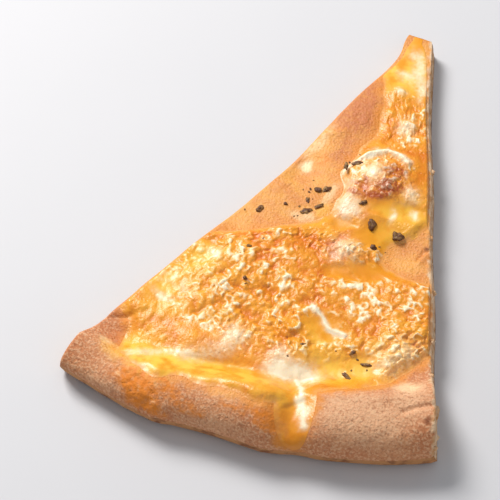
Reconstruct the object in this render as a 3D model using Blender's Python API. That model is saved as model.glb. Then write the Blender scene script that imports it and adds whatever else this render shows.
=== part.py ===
"""One slice of a garlic pizza bread: a leavened wedge with a raised rim, under melted cheese and herbs.

Lengths are in metres. A place on the slice is given by r, the distance from the apex where the two
cuts would meet, and phi, the angle from the middle line, positive towards +X. The tip points to +Y
and the rim to -Y. The slice rests on its flat underside at z = 0, centred on the origin.
"""
import math

import bmesh
import bpy
import numpy as np

# The wedge in plan: one eighth of a round bread of about 29 cm, a little longer on its left
HALF_ANGLE = math.radians(20.6)
RIM_RADIUS = 0.1446
RIM_SKEW = 0.0054
RIM_BULGE = (0.0020, math.radians(-13.5), math.radians(6.5))
RIM_WAVES = ((0.0004, 11.0, 0.6), (0.0003, 27.0, 0.0))
TIP_RADIUS = 0.0010
TIP_HALF_WIDTH = 0.0028
TIP_SHIFT = -0.0020
TIP_FADE = 0.0080

# The cut edges in plan wander a little: how far, over what length, and from where
LEFT_WANDER = (0.0014, 0.100, 0.018)
RIGHT_WANDER = (0.0003, 0.041, 0.010)
LEFT_CORNER = (0.0020, 0.120, 0.022)
EDGE_POWER = 6

# Heights of the dough, from the tip to the middle and up to the rim
TIP_HEIGHT = 0.0068
MIDDLE_HEIGHT = 0.0086
TIP_RUN = 0.060
RIM_RISE = 0.0058
RIM_RISE_SKEW = 0.0007
RIM_BAND = 0.0116
RIM_BAND_SKEW = 0.0030
RIM_FALL = 0.0105
RIM_SWELL = (0.10, 13.0, 1.0)
RIM_END_DROP = 0.28
UNEVEN_HEIGHT = 0.00028
UNEVEN_WAVELENGTH = 0.026
TROUGH_DEPTH = 0.0011
TROUGH_BACK = 0.0217
TROUGH_BACK_SKEW = 0.0086
TROUGH_WIDTH = 0.0055

# The rounded outer end of the rim, an elliptical arc over its widest line and another under it
NOSE_REACH = 0.0090
NOSE_UNDER = 0.0045
WIDEST_HEIGHT = 0.0062

# The cuts lean outwards towards the underside, and their crumb is uneven
LEFT_LEAN = 0.0009
RIGHT_LEAN = 0.0012
CRUMB_DEPTH = 0.00042
CRUMB_WAVELENGTH = 0.006

# The fold where the garlic butter runs over the rim, slanting by so many radians a metre
DRIP_PHI = math.radians(5.65)
DRIP_SLANT = math.radians(100.0)
DRIP_HALF_WIDTH = 0.0052
DRIP_DEPTH = 0.0031
DRIP_NOTCH = 0.0009
FOLD_FALL = 0.0170

# The layer of melted cheese and garlic butter
LAYER_GAP = 0.0005
LAYER_THICKNESS = 0.0010
LAYER_EDGE = 0.0003
LAYER_EDGE_RUN = 0.0020
LAYER_START = TIP_RADIUS + 0.0007
LAYER_KNEE = 0.0960
CURL_HEIGHT = 0.0008
CURL_WAVELENGTH = 0.0075

# Knots (r, phi in degrees) of the layer's left and right borders, and (phi, r) of its rim border
LEFT_BORDER = ((0.001, -20.1), (0.018, -19.6), (0.024, -14.0), (0.029, -6.0), (0.036, -3.0),
               (0.046, -5.2), (0.054, -6.5), (0.062, -3.7), (0.069, -3.4), (0.076, -7.4),
               (0.083, -13.0), (0.089, -17.2), (0.094, -20.0), (0.150, -20.1))
RIGHT_BORDER = ((0.001, 20.1), (0.066, 20.1), (0.071, 17.0), (0.076, 10.8), (0.080, 10.4),
                (0.084, 14.0), (0.087, 20.1), (0.150, 20.1))
RIM_BORDER = ((-20.1, 0.1270), (-18.0, 0.1285), (-12.5, 0.1395), (-8.0, 0.1358), (2.0, 0.1338),
              (6.0, 0.1285), (9.0, 0.1250), (14.0, 0.1210), (20.1, 0.1095))
TONGUE_HALF_WIDTH = 0.0058
TONGUE_END = 0.0008
TONGUE_TAPER = 0.38
TONGUE_ROUNDING = 0.30

# Swells and hollows (r, phi in degrees, radius along, radius across, height) of the dough
DOUGH_SWELLS = (
    (0.035, -12.0, 0.011, 0.007, 0.0011),
    (0.056, 4.7, 0.011, 0.011, 0.0010),
    (0.060, -16.3, 0.006, 0.005, -0.0010),
    (0.076, 16.0, 0.006, 0.008, -0.0006),
    (0.136, -17.2, 0.006, 0.008, -0.0018),
    (0.145, -11.6, 0.006, 0.008, -0.0005),
    (0.127, -4.4, 0.004, 0.009, -0.0006),
    (0.124, -9.0, 0.0035, 0.011, 0.0009),
    (0.098, 11.0, 0.012, 0.009, -0.0006),
    (0.134, 14.0, 0.010, 0.010, 0.0006),
    (0.093, -13.0, 0.014, 0.010, 0.0005),
)

# The same for lumps of cheese, added to the layer's thickness
CHEESE_LUMPS = (
    (0.056, 4.7, 0.009, 0.010, 0.0020),
    (0.090, -9.5, 0.014, 0.012, 0.0007),
    (0.104, -14.0, 0.013, 0.012, 0.0007),
    (0.094, 0.0, 0.012, 0.012, 0.0008),
    (0.098, 14.5, 0.012, 0.010, 0.0006),
    (0.117, 1.0, 0.004, 0.004, 0.0012),
    (0.025, 1.0, 0.007, 0.004, 0.0008),
    (0.111, 14.7, 0.005, 0.005, 0.0008),
)

# The thick bow of cheese round the big lump: its centre (r, phi in degrees), radius, width,
# height, and the turn from the tip's direction that it reaches on either side of its middle
BOW_CENTRE = (0.056, 5.5)
BOW_RADIUS = 0.0112
BOW_HALF_WIDTH = 0.0020
BOW_HEIGHT = 0.0012
BOW_TURN = math.radians(-28.0)
BOW_SPREAD = math.radians(50.0)
BOW_FADE = math.radians(20.0)

# Where the curly, rough cheese starts and ends, and how softly
ROUGH_START = (0.074, 0.010)
ROUGH_END = (0.110, 0.012)

# Herb flakes (r, phi in degrees, length): those on bare dough and those on the cheese
DOUGH_HERBS = ((0.0790, -17.1, 0.0028), (0.0730, -13.4, 0.0018), (0.0650, -8.7, 0.0032),
               (0.0630, -6.8, 0.0026), (0.0690, -6.5, 0.0028), (0.0715, -9.2, 0.0026),
               (0.0680, -11.0, 0.0018))
CHEESE_HERBS = ((0.0525, -3.6, 0.0030), (0.0640, 2.8, 0.0028), (0.0690, 6.6, 0.0040),
                (0.0720, 12.8, 0.0036), (0.0765, 8.3, 0.0026), (0.0920, -12.6, 0.0022),
                (0.1020, -9.9, 0.0022), (0.1110, 9.3, 0.0026), (0.1135, 11.4, 0.0028),
                (0.1180, 9.0, 0.0034), (0.1130, 2.6, 0.0024))
HERB_WIDTH = 0.0019
HERB_THICKNESS = 0.0010
HERB_SINK = 0.00012
HERB_SEED = 5

# How finely the solids are divided
ACROSS = 36
ALONG = 44
NOSE_STEPS = 9
WALL_STEPS = 5
LAYER_ACROSS = 36
LAYER_ROWS = 31
LAYER_RIM_ROWS = 18
TONGUE_ROWS = 7
CROWDING = 1.1
CROWD_WIDTH = math.radians(4.5)
HERB_SIDES = 6
HERB_RINGS = 4

SLOPE_STEP = 0.0002


def smooth(t):
    """Eases from 0 to 1 while t goes from 0 to 1."""
    t = np.clip(t, 0.0, 1.0)
    return t * t * (3.0 - 2.0 * t)


def through(knots, at):
    """Reads a smooth curve through a few knots, by cubic pieces that never overshoot a knot."""
    places, values = np.array(knots).T
    climb = np.diff(values) / np.diff(places)
    turning = climb[:-1] * climb[1:] <= 0.0
    total = np.where(turning, 1.0, climb[:-1] + climb[1:])
    inner = np.where(turning, 0.0, 2.0 * climb[:-1] * climb[1:] / total)
    slopes = np.concatenate([[0.0], inner, [0.0]])
    piece = np.clip(np.searchsorted(places, at) - 1, 0, len(places) - 2)
    width = places[piece + 1] - places[piece]
    t = np.clip((at - places[piece]) / width, 0.0, 1.0)
    eased = t * t * (3.0 - 2.0 * t)
    leave = t * (1.0 - t) ** 2 * width * slopes[piece]
    arrive = t * t * (1.0 - t) * width * slopes[piece + 1]
    return values[piece] * (1.0 - eased) + values[piece + 1] * eased + leave - arrive


def ripple(x, y, wavelength, seed, waves=12):
    """Sums seeded plane waves of about one wavelength into an uneven field of about -1 to 1."""
    draw = np.random.default_rng(seed)
    field = np.zeros(np.broadcast(x, y).shape)
    for _ in range(waves):
        turn = draw.uniform(0.0, 2.0 * math.pi)
        pitch = 2.0 * math.pi / (wavelength * draw.uniform(0.75, 1.35))
        phase = draw.uniform(0.0, 2.0 * math.pi)
        field += np.cos(pitch * (x * math.cos(turn) + y * math.sin(turn)) + phase)
    return field / math.sqrt(2.0 * waves)


def swells(r, phi, table):
    """Adds up the rounded swells of a table, each a bell over an ellipse."""
    x = r * np.sin(phi)
    y = -r * np.cos(phi)
    height = np.zeros(np.broadcast(r, phi).shape)
    for at_r, at_phi, along, across, rise in table:
        angle = math.radians(at_phi)
        run = (x * math.sin(angle) - y * math.cos(angle) - at_r) / along
        side = (x * math.cos(angle) + y * math.sin(angle)) / across
        height += rise * np.exp(-run * run - side * side)
    return height


def drip_middle(r):
    """Gives the angle of the middle of the drip's fold, which turns a little on its way out."""
    return DRIP_PHI + DRIP_SLANT * (r - RIM_RADIUS)


def drip_fold(r, phi):
    """Says how far a place is inside the fold that the butter runs through, from 0 to 1."""
    side = r * (phi - drip_middle(r)) / DRIP_HALF_WIDTH
    return np.exp(-side * side)


def rim_radius(phi):
    """Gives the outer radius: longer on the left, slightly wavy, notched at the drip."""
    share = phi / HALF_ANGLE
    waves = sum(height * np.sin(pitch * phi + phase) for height, pitch, phase in RIM_WAVES)
    bulge = RIM_BULGE[0] * np.exp(-((phi - RIM_BULGE[1]) / RIM_BULGE[2]) ** 2)
    notch = DRIP_NOTCH * drip_fold(RIM_RADIUS, phi)
    return RIM_RADIUS - RIM_SKEW * share + bulge + waves - notch


def dough_height(r, phi):
    """Gives the top of the dough as far out as the crest of the rim."""
    share = phi / HALF_ANGLE
    back = rim_radius(phi) - r
    body = TIP_HEIGHT + (MIDDLE_HEIGHT - TIP_HEIGHT) * smooth((r - TIP_RADIUS) / TIP_RUN)
    band = RIM_BAND + RIM_BAND_SKEW * share
    swell = 1.0 + RIM_SWELL[0] * np.sin(RIM_SWELL[1] * phi + RIM_SWELL[2])
    drop = 1.0 - RIM_END_DROP * smooth(-3.0 * share - 2.0)
    rim = (RIM_RISE + RIM_RISE_SKEW * share) * swell * drop
    rim = rim * (1.0 - smooth((back - band) / RIM_FALL))
    hollow = (back - TROUGH_BACK - TROUGH_BACK_SKEW * share) / TROUGH_WIDTH
    trough = TROUGH_DEPTH * np.exp(-hollow * hollow)
    fold = DRIP_DEPTH * drip_fold(r, phi) * (1.0 - smooth((back - band) / FOLD_FALL))
    x = r * np.sin(phi)
    y = -r * np.cos(phi)
    uneven = UNEVEN_HEIGHT * ripple(x, y, UNEVEN_WAVELENGTH, seed=3)
    return body + rim - trough - fold + uneven + swells(r, phi, DOUGH_SWELLS)


def columns(count):
    """Spreads places from -1 to 1 across the slice, closer together where the drip's fold is."""
    even = np.linspace(-1.0, 1.0, 401)
    crowd = 1.0 + CROWDING * np.exp(-((even * HALF_ANGLE - DRIP_PHI) / CROWD_WIDTH) ** 2)
    reach = np.concatenate([[0.0], np.cumsum(0.5 * (crowd[1:] + crowd[:-1]))])
    return np.interp(np.linspace(0.0, reach[-1], count), reach, even)


def edge_shift(r, phi):
    """Moves the cut edges sideways a little, because a cut through soft bread is never straight."""
    share = phi / HALF_ANGLE
    left, right = (reach * np.cos(2.0 * math.pi * (r - start) / length)
                   for reach, length, start in (LEFT_WANDER, RIGHT_WANDER))
    left = left + LEFT_CORNER[0] * smooth((r - LEFT_CORNER[1]) / LEFT_CORNER[2])
    return np.where(share < 0.0, -left, right) * np.abs(share) ** EDGE_POWER


def plan(r, phi):
    """Turns r and phi into x and y from the apex, round a blunt tip that leans to the left."""
    blunt = (TIP_SHIFT + TIP_HALF_WIDTH * phi / HALF_ANGLE) * np.exp(-(r / TIP_FADE) ** 2)
    return r * np.sin(phi) + edge_shift(r, phi) + blunt, -r * np.cos(phi)


def nose_start(phi):
    """Gives the radius where the rim's crest starts to round over."""
    return rim_radius(phi) - NOSE_REACH


def nose_length(phi):
    """Gives the length of the rim's upper arc, as the quarter of an ellipse."""
    rise = dough_height(nose_start(phi), phi) - WIDEST_HEIGHT
    return 0.5 * math.pi * np.sqrt((NOSE_REACH ** 2 + rise ** 2) / 2.0)


def crust(s, phi):
    """Gives points of the dough's top at a path length s from the apex, round the rim as well."""
    start = nose_start(phi)
    angle = np.clip((s - start) / nose_length(phi), 0.0, 1.0) * 0.5 * math.pi
    r = np.where(s < start, s, start + NOSE_REACH * np.sin(angle))
    flat = dough_height(np.minimum(s, start), phi)
    z = WIDEST_HEIGHT + (flat - WIDEST_HEIGHT) * np.cos(angle)
    x, y = plan(r, phi)
    return np.stack(np.broadcast_arrays(x, y, z), axis=-1)


def crust_normal(s, phi):
    """Gives the outward direction of the dough's top from its slopes along and across."""
    along = crust(s + SLOPE_STEP, phi) - crust(s - SLOPE_STEP, phi)
    turn = SLOPE_STEP / np.maximum(s, SLOPE_STEP)
    across = crust(s, phi + turn) - crust(s, phi - turn)
    normal = np.cross(along, across)
    return normal / np.linalg.norm(normal, axis=-1, keepdims=True)


def layer_left(r):
    """Gives the angle of the cheese layer's left border."""
    return np.radians(through(LEFT_BORDER, r))


def layer_right(r):
    """Gives the angle of the cheese layer's right border."""
    return np.radians(through(RIGHT_BORDER, r))


def layer_end(phi):
    """Gives how far out the cheese layer runs, without the tongue of butter over the rim."""
    return through(RIM_BORDER, np.degrees(phi))


def layer_grid():
    """Lays out the cheese layer: path lengths, angles, and which cells of the grid it fills.

    Rows keep one radius up to the knee and then spread out to the rim's border. The last rows
    are the tongue, which only the columns next to the drip fill.
    """
    share = 0.5 + 0.5 * columns(LAYER_ACROSS)[None, :]
    nominal = layer_left(0.0) + (layer_right(0.0) - layer_left(0.0)) * share
    end = layer_end(nominal)
    body = np.linspace(LAYER_START, LAYER_KNEE, LAYER_ROWS)[:, None].repeat(LAYER_ACROSS, axis=1)
    rim = np.linspace(0.0, 1.0, LAYER_RIM_ROWS + 1)[1:, None]
    s = np.vstack([body, LAYER_KNEE + (end - LAYER_KNEE) * rim])
    low = layer_left(s)
    phi = low + (layer_right(s) - low) * share

    last_s = s[-1]
    offset = phi[-1] - drip_middle(last_s)
    wet = np.abs(offset * last_s) < TONGUE_HALF_WIDTH
    step = np.linspace(0.0, 1.0, TONGUE_ROWS + 1)[1:, None]
    reach = nose_start(DRIP_PHI) + nose_length(DRIP_PHI) - TONGUE_END
    rounding = TONGUE_ROUNDING * (offset * last_s / TONGUE_HALF_WIDTH) ** 2
    tongue_s = last_s + (reach - last_s) * step * (1.0 - rounding)
    narrow = 1.0 - TONGUE_TAPER * step ** 2
    tongue_phi = drip_middle(np.minimum(tongue_s, RIM_RADIUS)) + offset * narrow
    used = np.ones((len(s) + TONGUE_ROWS - 1, LAYER_ACROSS - 1), dtype=bool)
    used[len(s) - 1:] = wet[:-1] & wet[1:]
    return np.vstack([s, tongue_s]), np.vstack([phi, tongue_phi]), used


def bow(r, phi):
    """Says how far a place is on the thick bow of cheese, from 0 to 1."""
    angle = math.radians(BOW_CENTRE[1])
    x = r * np.sin(phi) - BOW_CENTRE[0] * math.sin(angle)
    y = -r * np.cos(phi) + BOW_CENTRE[0] * math.cos(angle)
    reach = np.hypot(x, y) - BOW_RADIUS
    turn = np.arctan2(x, y)
    fade = 1.0 - smooth((np.abs(turn - BOW_TURN) - BOW_SPREAD) / BOW_FADE)
    return np.exp(-(reach / BOW_HALF_WIDTH) ** 2) * fade


def layer_thickness(r, phi, inside):
    """Gives the cheese layer's thickness, thin and rounded at its border."""
    x = r * np.sin(phi)
    y = -r * np.cos(phi)
    curls = 0.5 + 0.5 * ripple(x, y, CURL_WAVELENGTH, seed=11)
    rough = smooth((r - ROUGH_START[0]) / ROUGH_START[1])
    rough = rough * (1.0 - smooth((r - ROUGH_END[0]) / ROUGH_END[1]))
    full = LAYER_THICKNESS + CURL_HEIGHT * rough * np.clip(curls, 0.0, 1.0)
    full = full + swells(r, phi, CHEESE_LUMPS) + BOW_HEIGHT * bow(r, phi)
    close = np.clip(1.0 - inside / LAYER_EDGE_RUN, 0.0, 1.0)
    return LAYER_EDGE + (full - LAYER_EDGE) * np.sqrt(1.0 - close * close)


def make_material(name, colour, roughness):
    """Makes a plain surface of one colour."""
    material = bpy.data.materials.new(name)
    material.use_nodes = True
    shader = material.node_tree.nodes["Principled BSDF"]
    shader.inputs["Base Color"].default_value = (*colour, 1.0)
    shader.inputs["Roughness"].default_value = roughness
    shader.inputs["Metallic"].default_value = 0.0
    return material


def make_object(name, bm, material):
    """Puts a finished mesh into the scene under its name."""
    bmesh.ops.recalc_face_normals(bm, faces=bm.faces)
    mesh = bpy.data.meshes.new(name)
    bm.to_mesh(mesh)
    bm.free()
    mesh.materials.append(material)
    mesh.shade_smooth()
    mesh.set_sharp_from_angle(angle=math.radians(50.0))
    obj = bpy.data.objects.new(name, mesh)
    bpy.context.scene.collection.objects.link(obj)
    return obj


def add_points(bm, points):
    """Adds a row of points to a mesh and returns its vertices."""
    return [bm.verts.new(point) for point in points]


def wall_points(top, bottom, phi, seed):
    """Gives the points down one cut face, between its upper and its lower edge."""
    outward = math.copysign(1.0, phi)
    step = np.linspace(0.0, 1.0, WALL_STEPS + 1)[1:-1]
    points = top[:, None, :] * (1.0 - step)[None, :, None] + bottom[:, None, :] * step[None, :, None]
    height = points[:, :, 2]
    run = np.hypot(points[:, :, 0], points[:, :, 1])
    depth = CRUMB_DEPTH * ripple(run, height, CRUMB_WAVELENGTH, seed=seed)
    thick = (top[:, 2] - bottom[:, 2])[:, None]
    depth = depth * np.clip(thick / WIDEST_HEIGHT, 0.0, 1.0)
    points[:, :, 0] += outward * depth * math.cos(phi)
    points[:, :, 1] += outward * depth * math.sin(phi)
    return points


def make_bread(material):
    """Builds the wedge of dough from rows across the slice, tip to rim."""
    phi = HALF_ANGLE * columns(ACROSS)
    share = np.linspace(0.0, 1.0, ALONG)[:, None]
    nose = np.linspace(0.0, 0.5 * math.pi, NOSE_STEPS + 1)[1:, None]
    start = nose_start(phi)[None, :]
    flat_r = TIP_RADIUS + (start - TIP_RADIUS) * share
    nose_r = start + NOSE_REACH * np.sin(nose)
    r = np.vstack([flat_r, nose_r])
    s = np.vstack([flat_r, start + nose_length(phi)[None, :] * nose / (0.5 * math.pi)])

    top = crust(s, phi[None, :])
    under = np.clip((r - rim_radius(phi)[None, :] + NOSE_UNDER) / NOSE_UNDER, 0.0, 1.0)
    lean = np.where(phi < 0.0, -LEFT_LEAN, RIGHT_LEAN) * np.abs(phi / HALF_ANGLE) ** EDGE_POWER
    bottom = top.copy()
    bottom[:, :, 2] = WIDEST_HEIGHT * (1.0 - np.sqrt(1.0 - under ** 2))
    thick = (top - bottom)[:, :, 2]
    bottom[:, :, 0] += lean[None, :] * np.clip(thick / WIDEST_HEIGHT, 0.0, 1.0)
    top[0, :, 1] = top[0, :, 1].mean()
    bottom[0, :, 1] = top[0, :, 1]
    left = wall_points(top[:-1, 0], bottom[:-1, 0], -HALF_ANGLE, seed=21)
    right = wall_points(top[:-1, -1], bottom[:-1, -1], HALF_ANGLE, seed=22)

    bm = bmesh.new()
    rows = len(top)
    top_rows = [add_points(bm, row) for row in top]
    left_rows = [add_points(bm, row) for row in left]
    right_rows = [add_points(bm, row) for row in right]
    last_flat = int(np.max(np.nonzero(under.max(axis=1) == 0.0)))
    bottom_rows = []
    for i in range(rows - 1):
        edge_only = 0 < i < last_flat
        row = [None] * ACROSS
        for j in range(ACROSS):
            if not edge_only or j in (0, ACROSS - 1):
                row[j] = bm.verts.new(bottom[i, j])
        bottom_rows.append(row)
    widest = top_rows[-1]

    loops = []
    for i in range(rows - 1):
        loops.append((
            [top_rows[i][0], *left_rows[i], bottom_rows[i][0]],
            [top_rows[i][-1], *right_rows[i], bottom_rows[i][-1]],
        ))
    for i in range(rows - 1):
        for j in range(ACROSS - 1):
            bm.faces.new((top_rows[i][j], top_rows[i + 1][j], top_rows[i + 1][j + 1], top_rows[i][j + 1]))
    for i in range(rows - 2):
        for side in (0, 1):
            here = loops[i][side]
            there = loops[i + 1][side]
            for k in range(len(here) - 1):
                bm.faces.new((here[k], here[k + 1], there[k + 1], there[k]))
    for side, corner in ((0, widest[0]), (1, widest[-1])):
        here = loops[-1][side]
        for k in range(len(here) - 1):
            bm.faces.new((here[k], here[k + 1], corner))
    for i in range(last_flat, rows - 2):
        for j in range(ACROSS - 1):
            bm.faces.new((bottom_rows[i][j], bottom_rows[i][j + 1],
                          bottom_rows[i + 1][j + 1], bottom_rows[i + 1][j]))
    for j in range(ACROSS - 1):
        bm.faces.new((bottom_rows[-1][j], bottom_rows[-1][j + 1], widest[j + 1], widest[j]))
    left_edge = [bottom_rows[i][0] for i in range(last_flat + 1)]
    right_edge = [bottom_rows[i][-1] for i in range(last_flat, -1, -1)]
    bm.faces.new(left_edge + bottom_rows[last_flat][1:-1] + right_edge + bottom_rows[0][-2:0:-1])
    bm.faces.new(loops[0][0] + bottom_rows[0][1:-1] + loops[0][1][::-1] + top_rows[0][-2:0:-1])
    return make_object("bread", bm, material)


def make_cheese(material):
    """Builds the cheese layer as a closed sheet that follows the dough's top a hair above it."""
    s, phi, used = layer_grid()
    touching = np.zeros(s.shape, dtype=int)
    for down in (slice(None, -1), slice(1, None)):
        for aside in (slice(None, -1), slice(1, None)):
            touching[down, aside] += used
    ground = crust(s, phi)
    normal = crust_normal(s, phi)
    border = ground[(touching > 0) & (touching < 4)]
    inside = np.linalg.norm(ground[:, :, None, :] - border, axis=-1).min(axis=-1)
    thickness = layer_thickness(s, phi, inside)[:, :, None]
    lower = ground + normal * LAYER_GAP
    upper = ground + normal * (LAYER_GAP + thickness)

    bm = bmesh.new()
    below = {}
    above = {}
    for i, j in np.argwhere(touching > 0):
        below[i, j] = bm.verts.new(lower[i, j])
        above[i, j] = bm.verts.new(upper[i, j])
    for i, j in np.argwhere(used):
        for sheet in (below, above):
            bm.faces.new((sheet[i, j], sheet[i + 1, j], sheet[i + 1, j + 1], sheet[i, j + 1]))
    partner = {vertex: above[place] for place, vertex in below.items()}
    open_edges = [edge for edge in bm.edges if edge.is_boundary and edge.verts[0] in partner]
    for edge in open_edges:
        one, other = edge.verts
        bm.faces.new((one, other, partner[other], partner[one]))
    return make_object("cheese", bm, material)


def make_herb(name, place, normal, length, turn, material):
    """Makes one flake: a small flattened grain that lies on the surface."""
    bm = bmesh.new()
    bmesh.ops.create_uvsphere(bm, u_segments=HERB_SIDES, v_segments=HERB_RINGS, radius=0.5)
    flat = np.array([v.co for v in bm.verts]) * (length, HERB_WIDTH, HERB_THICKNESS)
    side = np.cross(normal, (math.cos(turn), math.sin(turn), 0.0))
    side = side / np.linalg.norm(side)
    ahead = np.cross(side, normal)
    centre = place + normal * HERB_SINK
    placed = centre + flat[:, :1] * ahead + flat[:, 1:2] * side + flat[:, 2:] * normal
    for vertex, point in zip(bm.verts, placed):
        vertex.co = point
    return make_object(name, bm, material)


def fuse_herbs(target, herbs, lift, material):
    """Joins a group of flakes to what they lie on, by one union."""
    draw = np.random.default_rng(HERB_SEED)
    group = bpy.data.collections.new(target.name + "_herbs")
    for index, (r, angle, length) in enumerate(herbs):
        phi = math.radians(angle)
        normal = crust_normal(np.array(r), phi)
        place = crust(np.array(r), phi) + normal * lift(r, phi)
        name = "{}_herb_{}".format(target.name, index)
        herb = make_herb(name, place, normal, length, draw.uniform(0.0, math.pi), material)
        bpy.context.scene.collection.objects.unlink(herb)
        group.objects.link(herb)
    union = target.modifiers.new("herbs", "BOOLEAN")
    union.operation = "UNION"
    union.operand_type = "COLLECTION"
    union.collection = group
    union.solver = "EXACT"
    bpy.context.view_layer.update()
    evaluated = target.evaluated_get(bpy.context.evaluated_depsgraph_get())
    fused = bpy.data.meshes.new_from_object(evaluated)
    target.modifiers.clear()
    target.data = fused
    for herb in list(group.objects):
        bpy.data.objects.remove(herb)
    bpy.data.collections.remove(group)


def centre_on_origin(objects):
    """Moves the whole slice so that the middle of its box stands on the origin."""
    points = np.array([v.co for obj in objects for v in obj.data.vertices])
    middle = (points.min(axis=0) + points.max(axis=0)) / 2.0
    for obj in objects:
        for vertex in obj.data.vertices:
            vertex.co.x -= middle[0]
            vertex.co.y -= middle[1]


def main():
    """Builds the slice."""
    for obj in list(bpy.data.objects):
        bpy.data.objects.remove(obj)
    crust_finish = make_material("baked_crust", (0.66, 0.33, 0.14), 0.75)
    cheese_finish = make_material("melted_cheese", (0.86, 0.45, 0.08), 0.35)

    bread = make_bread(crust_finish)
    fuse_herbs(bread, DOUGH_HERBS, lambda r, phi: 0.0, crust_finish)
    cheese = make_cheese(cheese_finish)

    def on_cheese(r, phi):
        """Gives the height of the cheese over the dough where a flake lies."""
        return LAYER_GAP + float(layer_thickness(np.array(r), phi, np.array(LAYER_EDGE_RUN)))

    fuse_herbs(cheese, CHEESE_HERBS, on_cheese, cheese_finish)
    centre_on_origin([bread, cheese])


main()
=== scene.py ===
"""The looks of one slice of garlic pizza bread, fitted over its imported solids.

Lengths are in metres. A place on the slice is given by s, the path length over the dough's top
from the apex where the two cuts would meet, and phi, the angle from the middle line, positive
towards +X. The tip points to +Y and the rim to -Y. On the flat of the slice, s is the radius r.
"""
import logging
import math
from dataclasses import dataclass, fields
from enum import Enum

import bmesh
import bpy
import numpy as np
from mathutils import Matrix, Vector


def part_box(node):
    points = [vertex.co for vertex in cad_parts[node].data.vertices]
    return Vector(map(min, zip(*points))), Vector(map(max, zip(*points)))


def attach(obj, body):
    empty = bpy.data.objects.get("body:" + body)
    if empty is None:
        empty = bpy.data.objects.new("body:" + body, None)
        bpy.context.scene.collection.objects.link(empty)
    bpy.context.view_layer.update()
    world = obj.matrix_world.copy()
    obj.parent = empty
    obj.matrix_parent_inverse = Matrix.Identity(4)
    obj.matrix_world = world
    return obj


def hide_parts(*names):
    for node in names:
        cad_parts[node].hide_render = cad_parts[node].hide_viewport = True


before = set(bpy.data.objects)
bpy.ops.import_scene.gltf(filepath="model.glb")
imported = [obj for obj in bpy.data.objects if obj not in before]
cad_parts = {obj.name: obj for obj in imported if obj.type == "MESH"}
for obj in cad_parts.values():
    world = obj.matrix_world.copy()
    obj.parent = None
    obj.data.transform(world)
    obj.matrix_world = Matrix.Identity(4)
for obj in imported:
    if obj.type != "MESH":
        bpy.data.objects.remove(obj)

Array = np.ndarray
Knots = tuple[tuple[float, float], ...]
Colour = tuple[float, float, float, float]
Piece = bpy.types.Object
Material = bpy.types.Material
Node = bpy.types.Node
Tree = bpy.types.NodeTree
Socket = bpy.types.NodeSocket

LOG = logging.getLogger("slice")


def ease(t: Array) -> Array:
    """Eases from 0 to 1 while t goes from 0 to 1: t squared times (3 - 2 t).

    Args:
        t: The way gone, clipped to 0 and 1.

    Returns:
        The eased share, of t's shape.
    """
    t = np.clip(t, 0.0, 1.0)
    return t * t * (3.0 - 2.0 * t)


def through(knots: Knots, at: Array) -> Array:
    """Reads a smooth curve through a few knots, by cubic pieces that never overshoot a knot.

    Each inner knot's slope is the harmonic mean of its neighbours' climbs, or 0 where they turn.

    Args:
        knots: Pairs of a place and a value, in order of place.
        at: The places to read.

    Returns:
        The curve's values there.
    """
    places, values = np.array(knots).T
    climb = np.diff(values) / np.diff(places)
    turning = climb[:-1] * climb[1:] <= 0.0
    total = np.where(turning, 1.0, climb[:-1] + climb[1:])
    inner = np.where(turning, 0.0, 2.0 * climb[:-1] * climb[1:] / total)
    slopes = np.concatenate([[0.0], inner, [0.0]])
    piece = np.clip(np.searchsorted(places, at) - 1, 0, len(places) - 2)
    width = places[piece + 1] - places[piece]
    t = np.clip((at - places[piece]) / width, 0.0, 1.0)
    leave = t * (1.0 - t) ** 2 * width * slopes[piece]
    arrive = t * t * (1.0 - t) * width * slopes[piece + 1]
    return values[piece] * (1.0 - ease(t)) + values[piece + 1] * ease(t) + leave - arrive


def ripple(x: Array, y: Array, wavelength: float, seed: int, waves: int = 12) -> Array:
    """Sums seeded plane waves of about one wavelength into an uneven field of about -1 to 1.

    Args:
        x: Places across the slice.
        y: Places along the slice.
        wavelength: The waves' length; each one is drawn at 0.75 to 1.35 times it.
        seed: The draw's seed.
        waves: How many waves are summed.

    Returns:
        The field at those places.
    """
    draw = np.random.default_rng(seed)
    field = np.zeros(np.broadcast(x, y).shape)
    for _ in range(waves):
        turn = draw.uniform(0.0, 2.0 * math.pi)
        pitch = 2.0 * math.pi / (wavelength * draw.uniform(0.75, 1.35))
        phase = draw.uniform(0.0, 2.0 * math.pi)
        field += np.cos(pitch * (x * math.cos(turn) + y * math.sin(turn)) + phase)
    return field / math.sqrt(2.0 * waves)


def polar(r: float, phi: float) -> tuple[float, float]:
    """Turns a radius and an angle in degrees into x and y from the apex."""
    return r * math.sin(math.radians(phi)), -r * math.cos(math.radians(phi))


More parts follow.
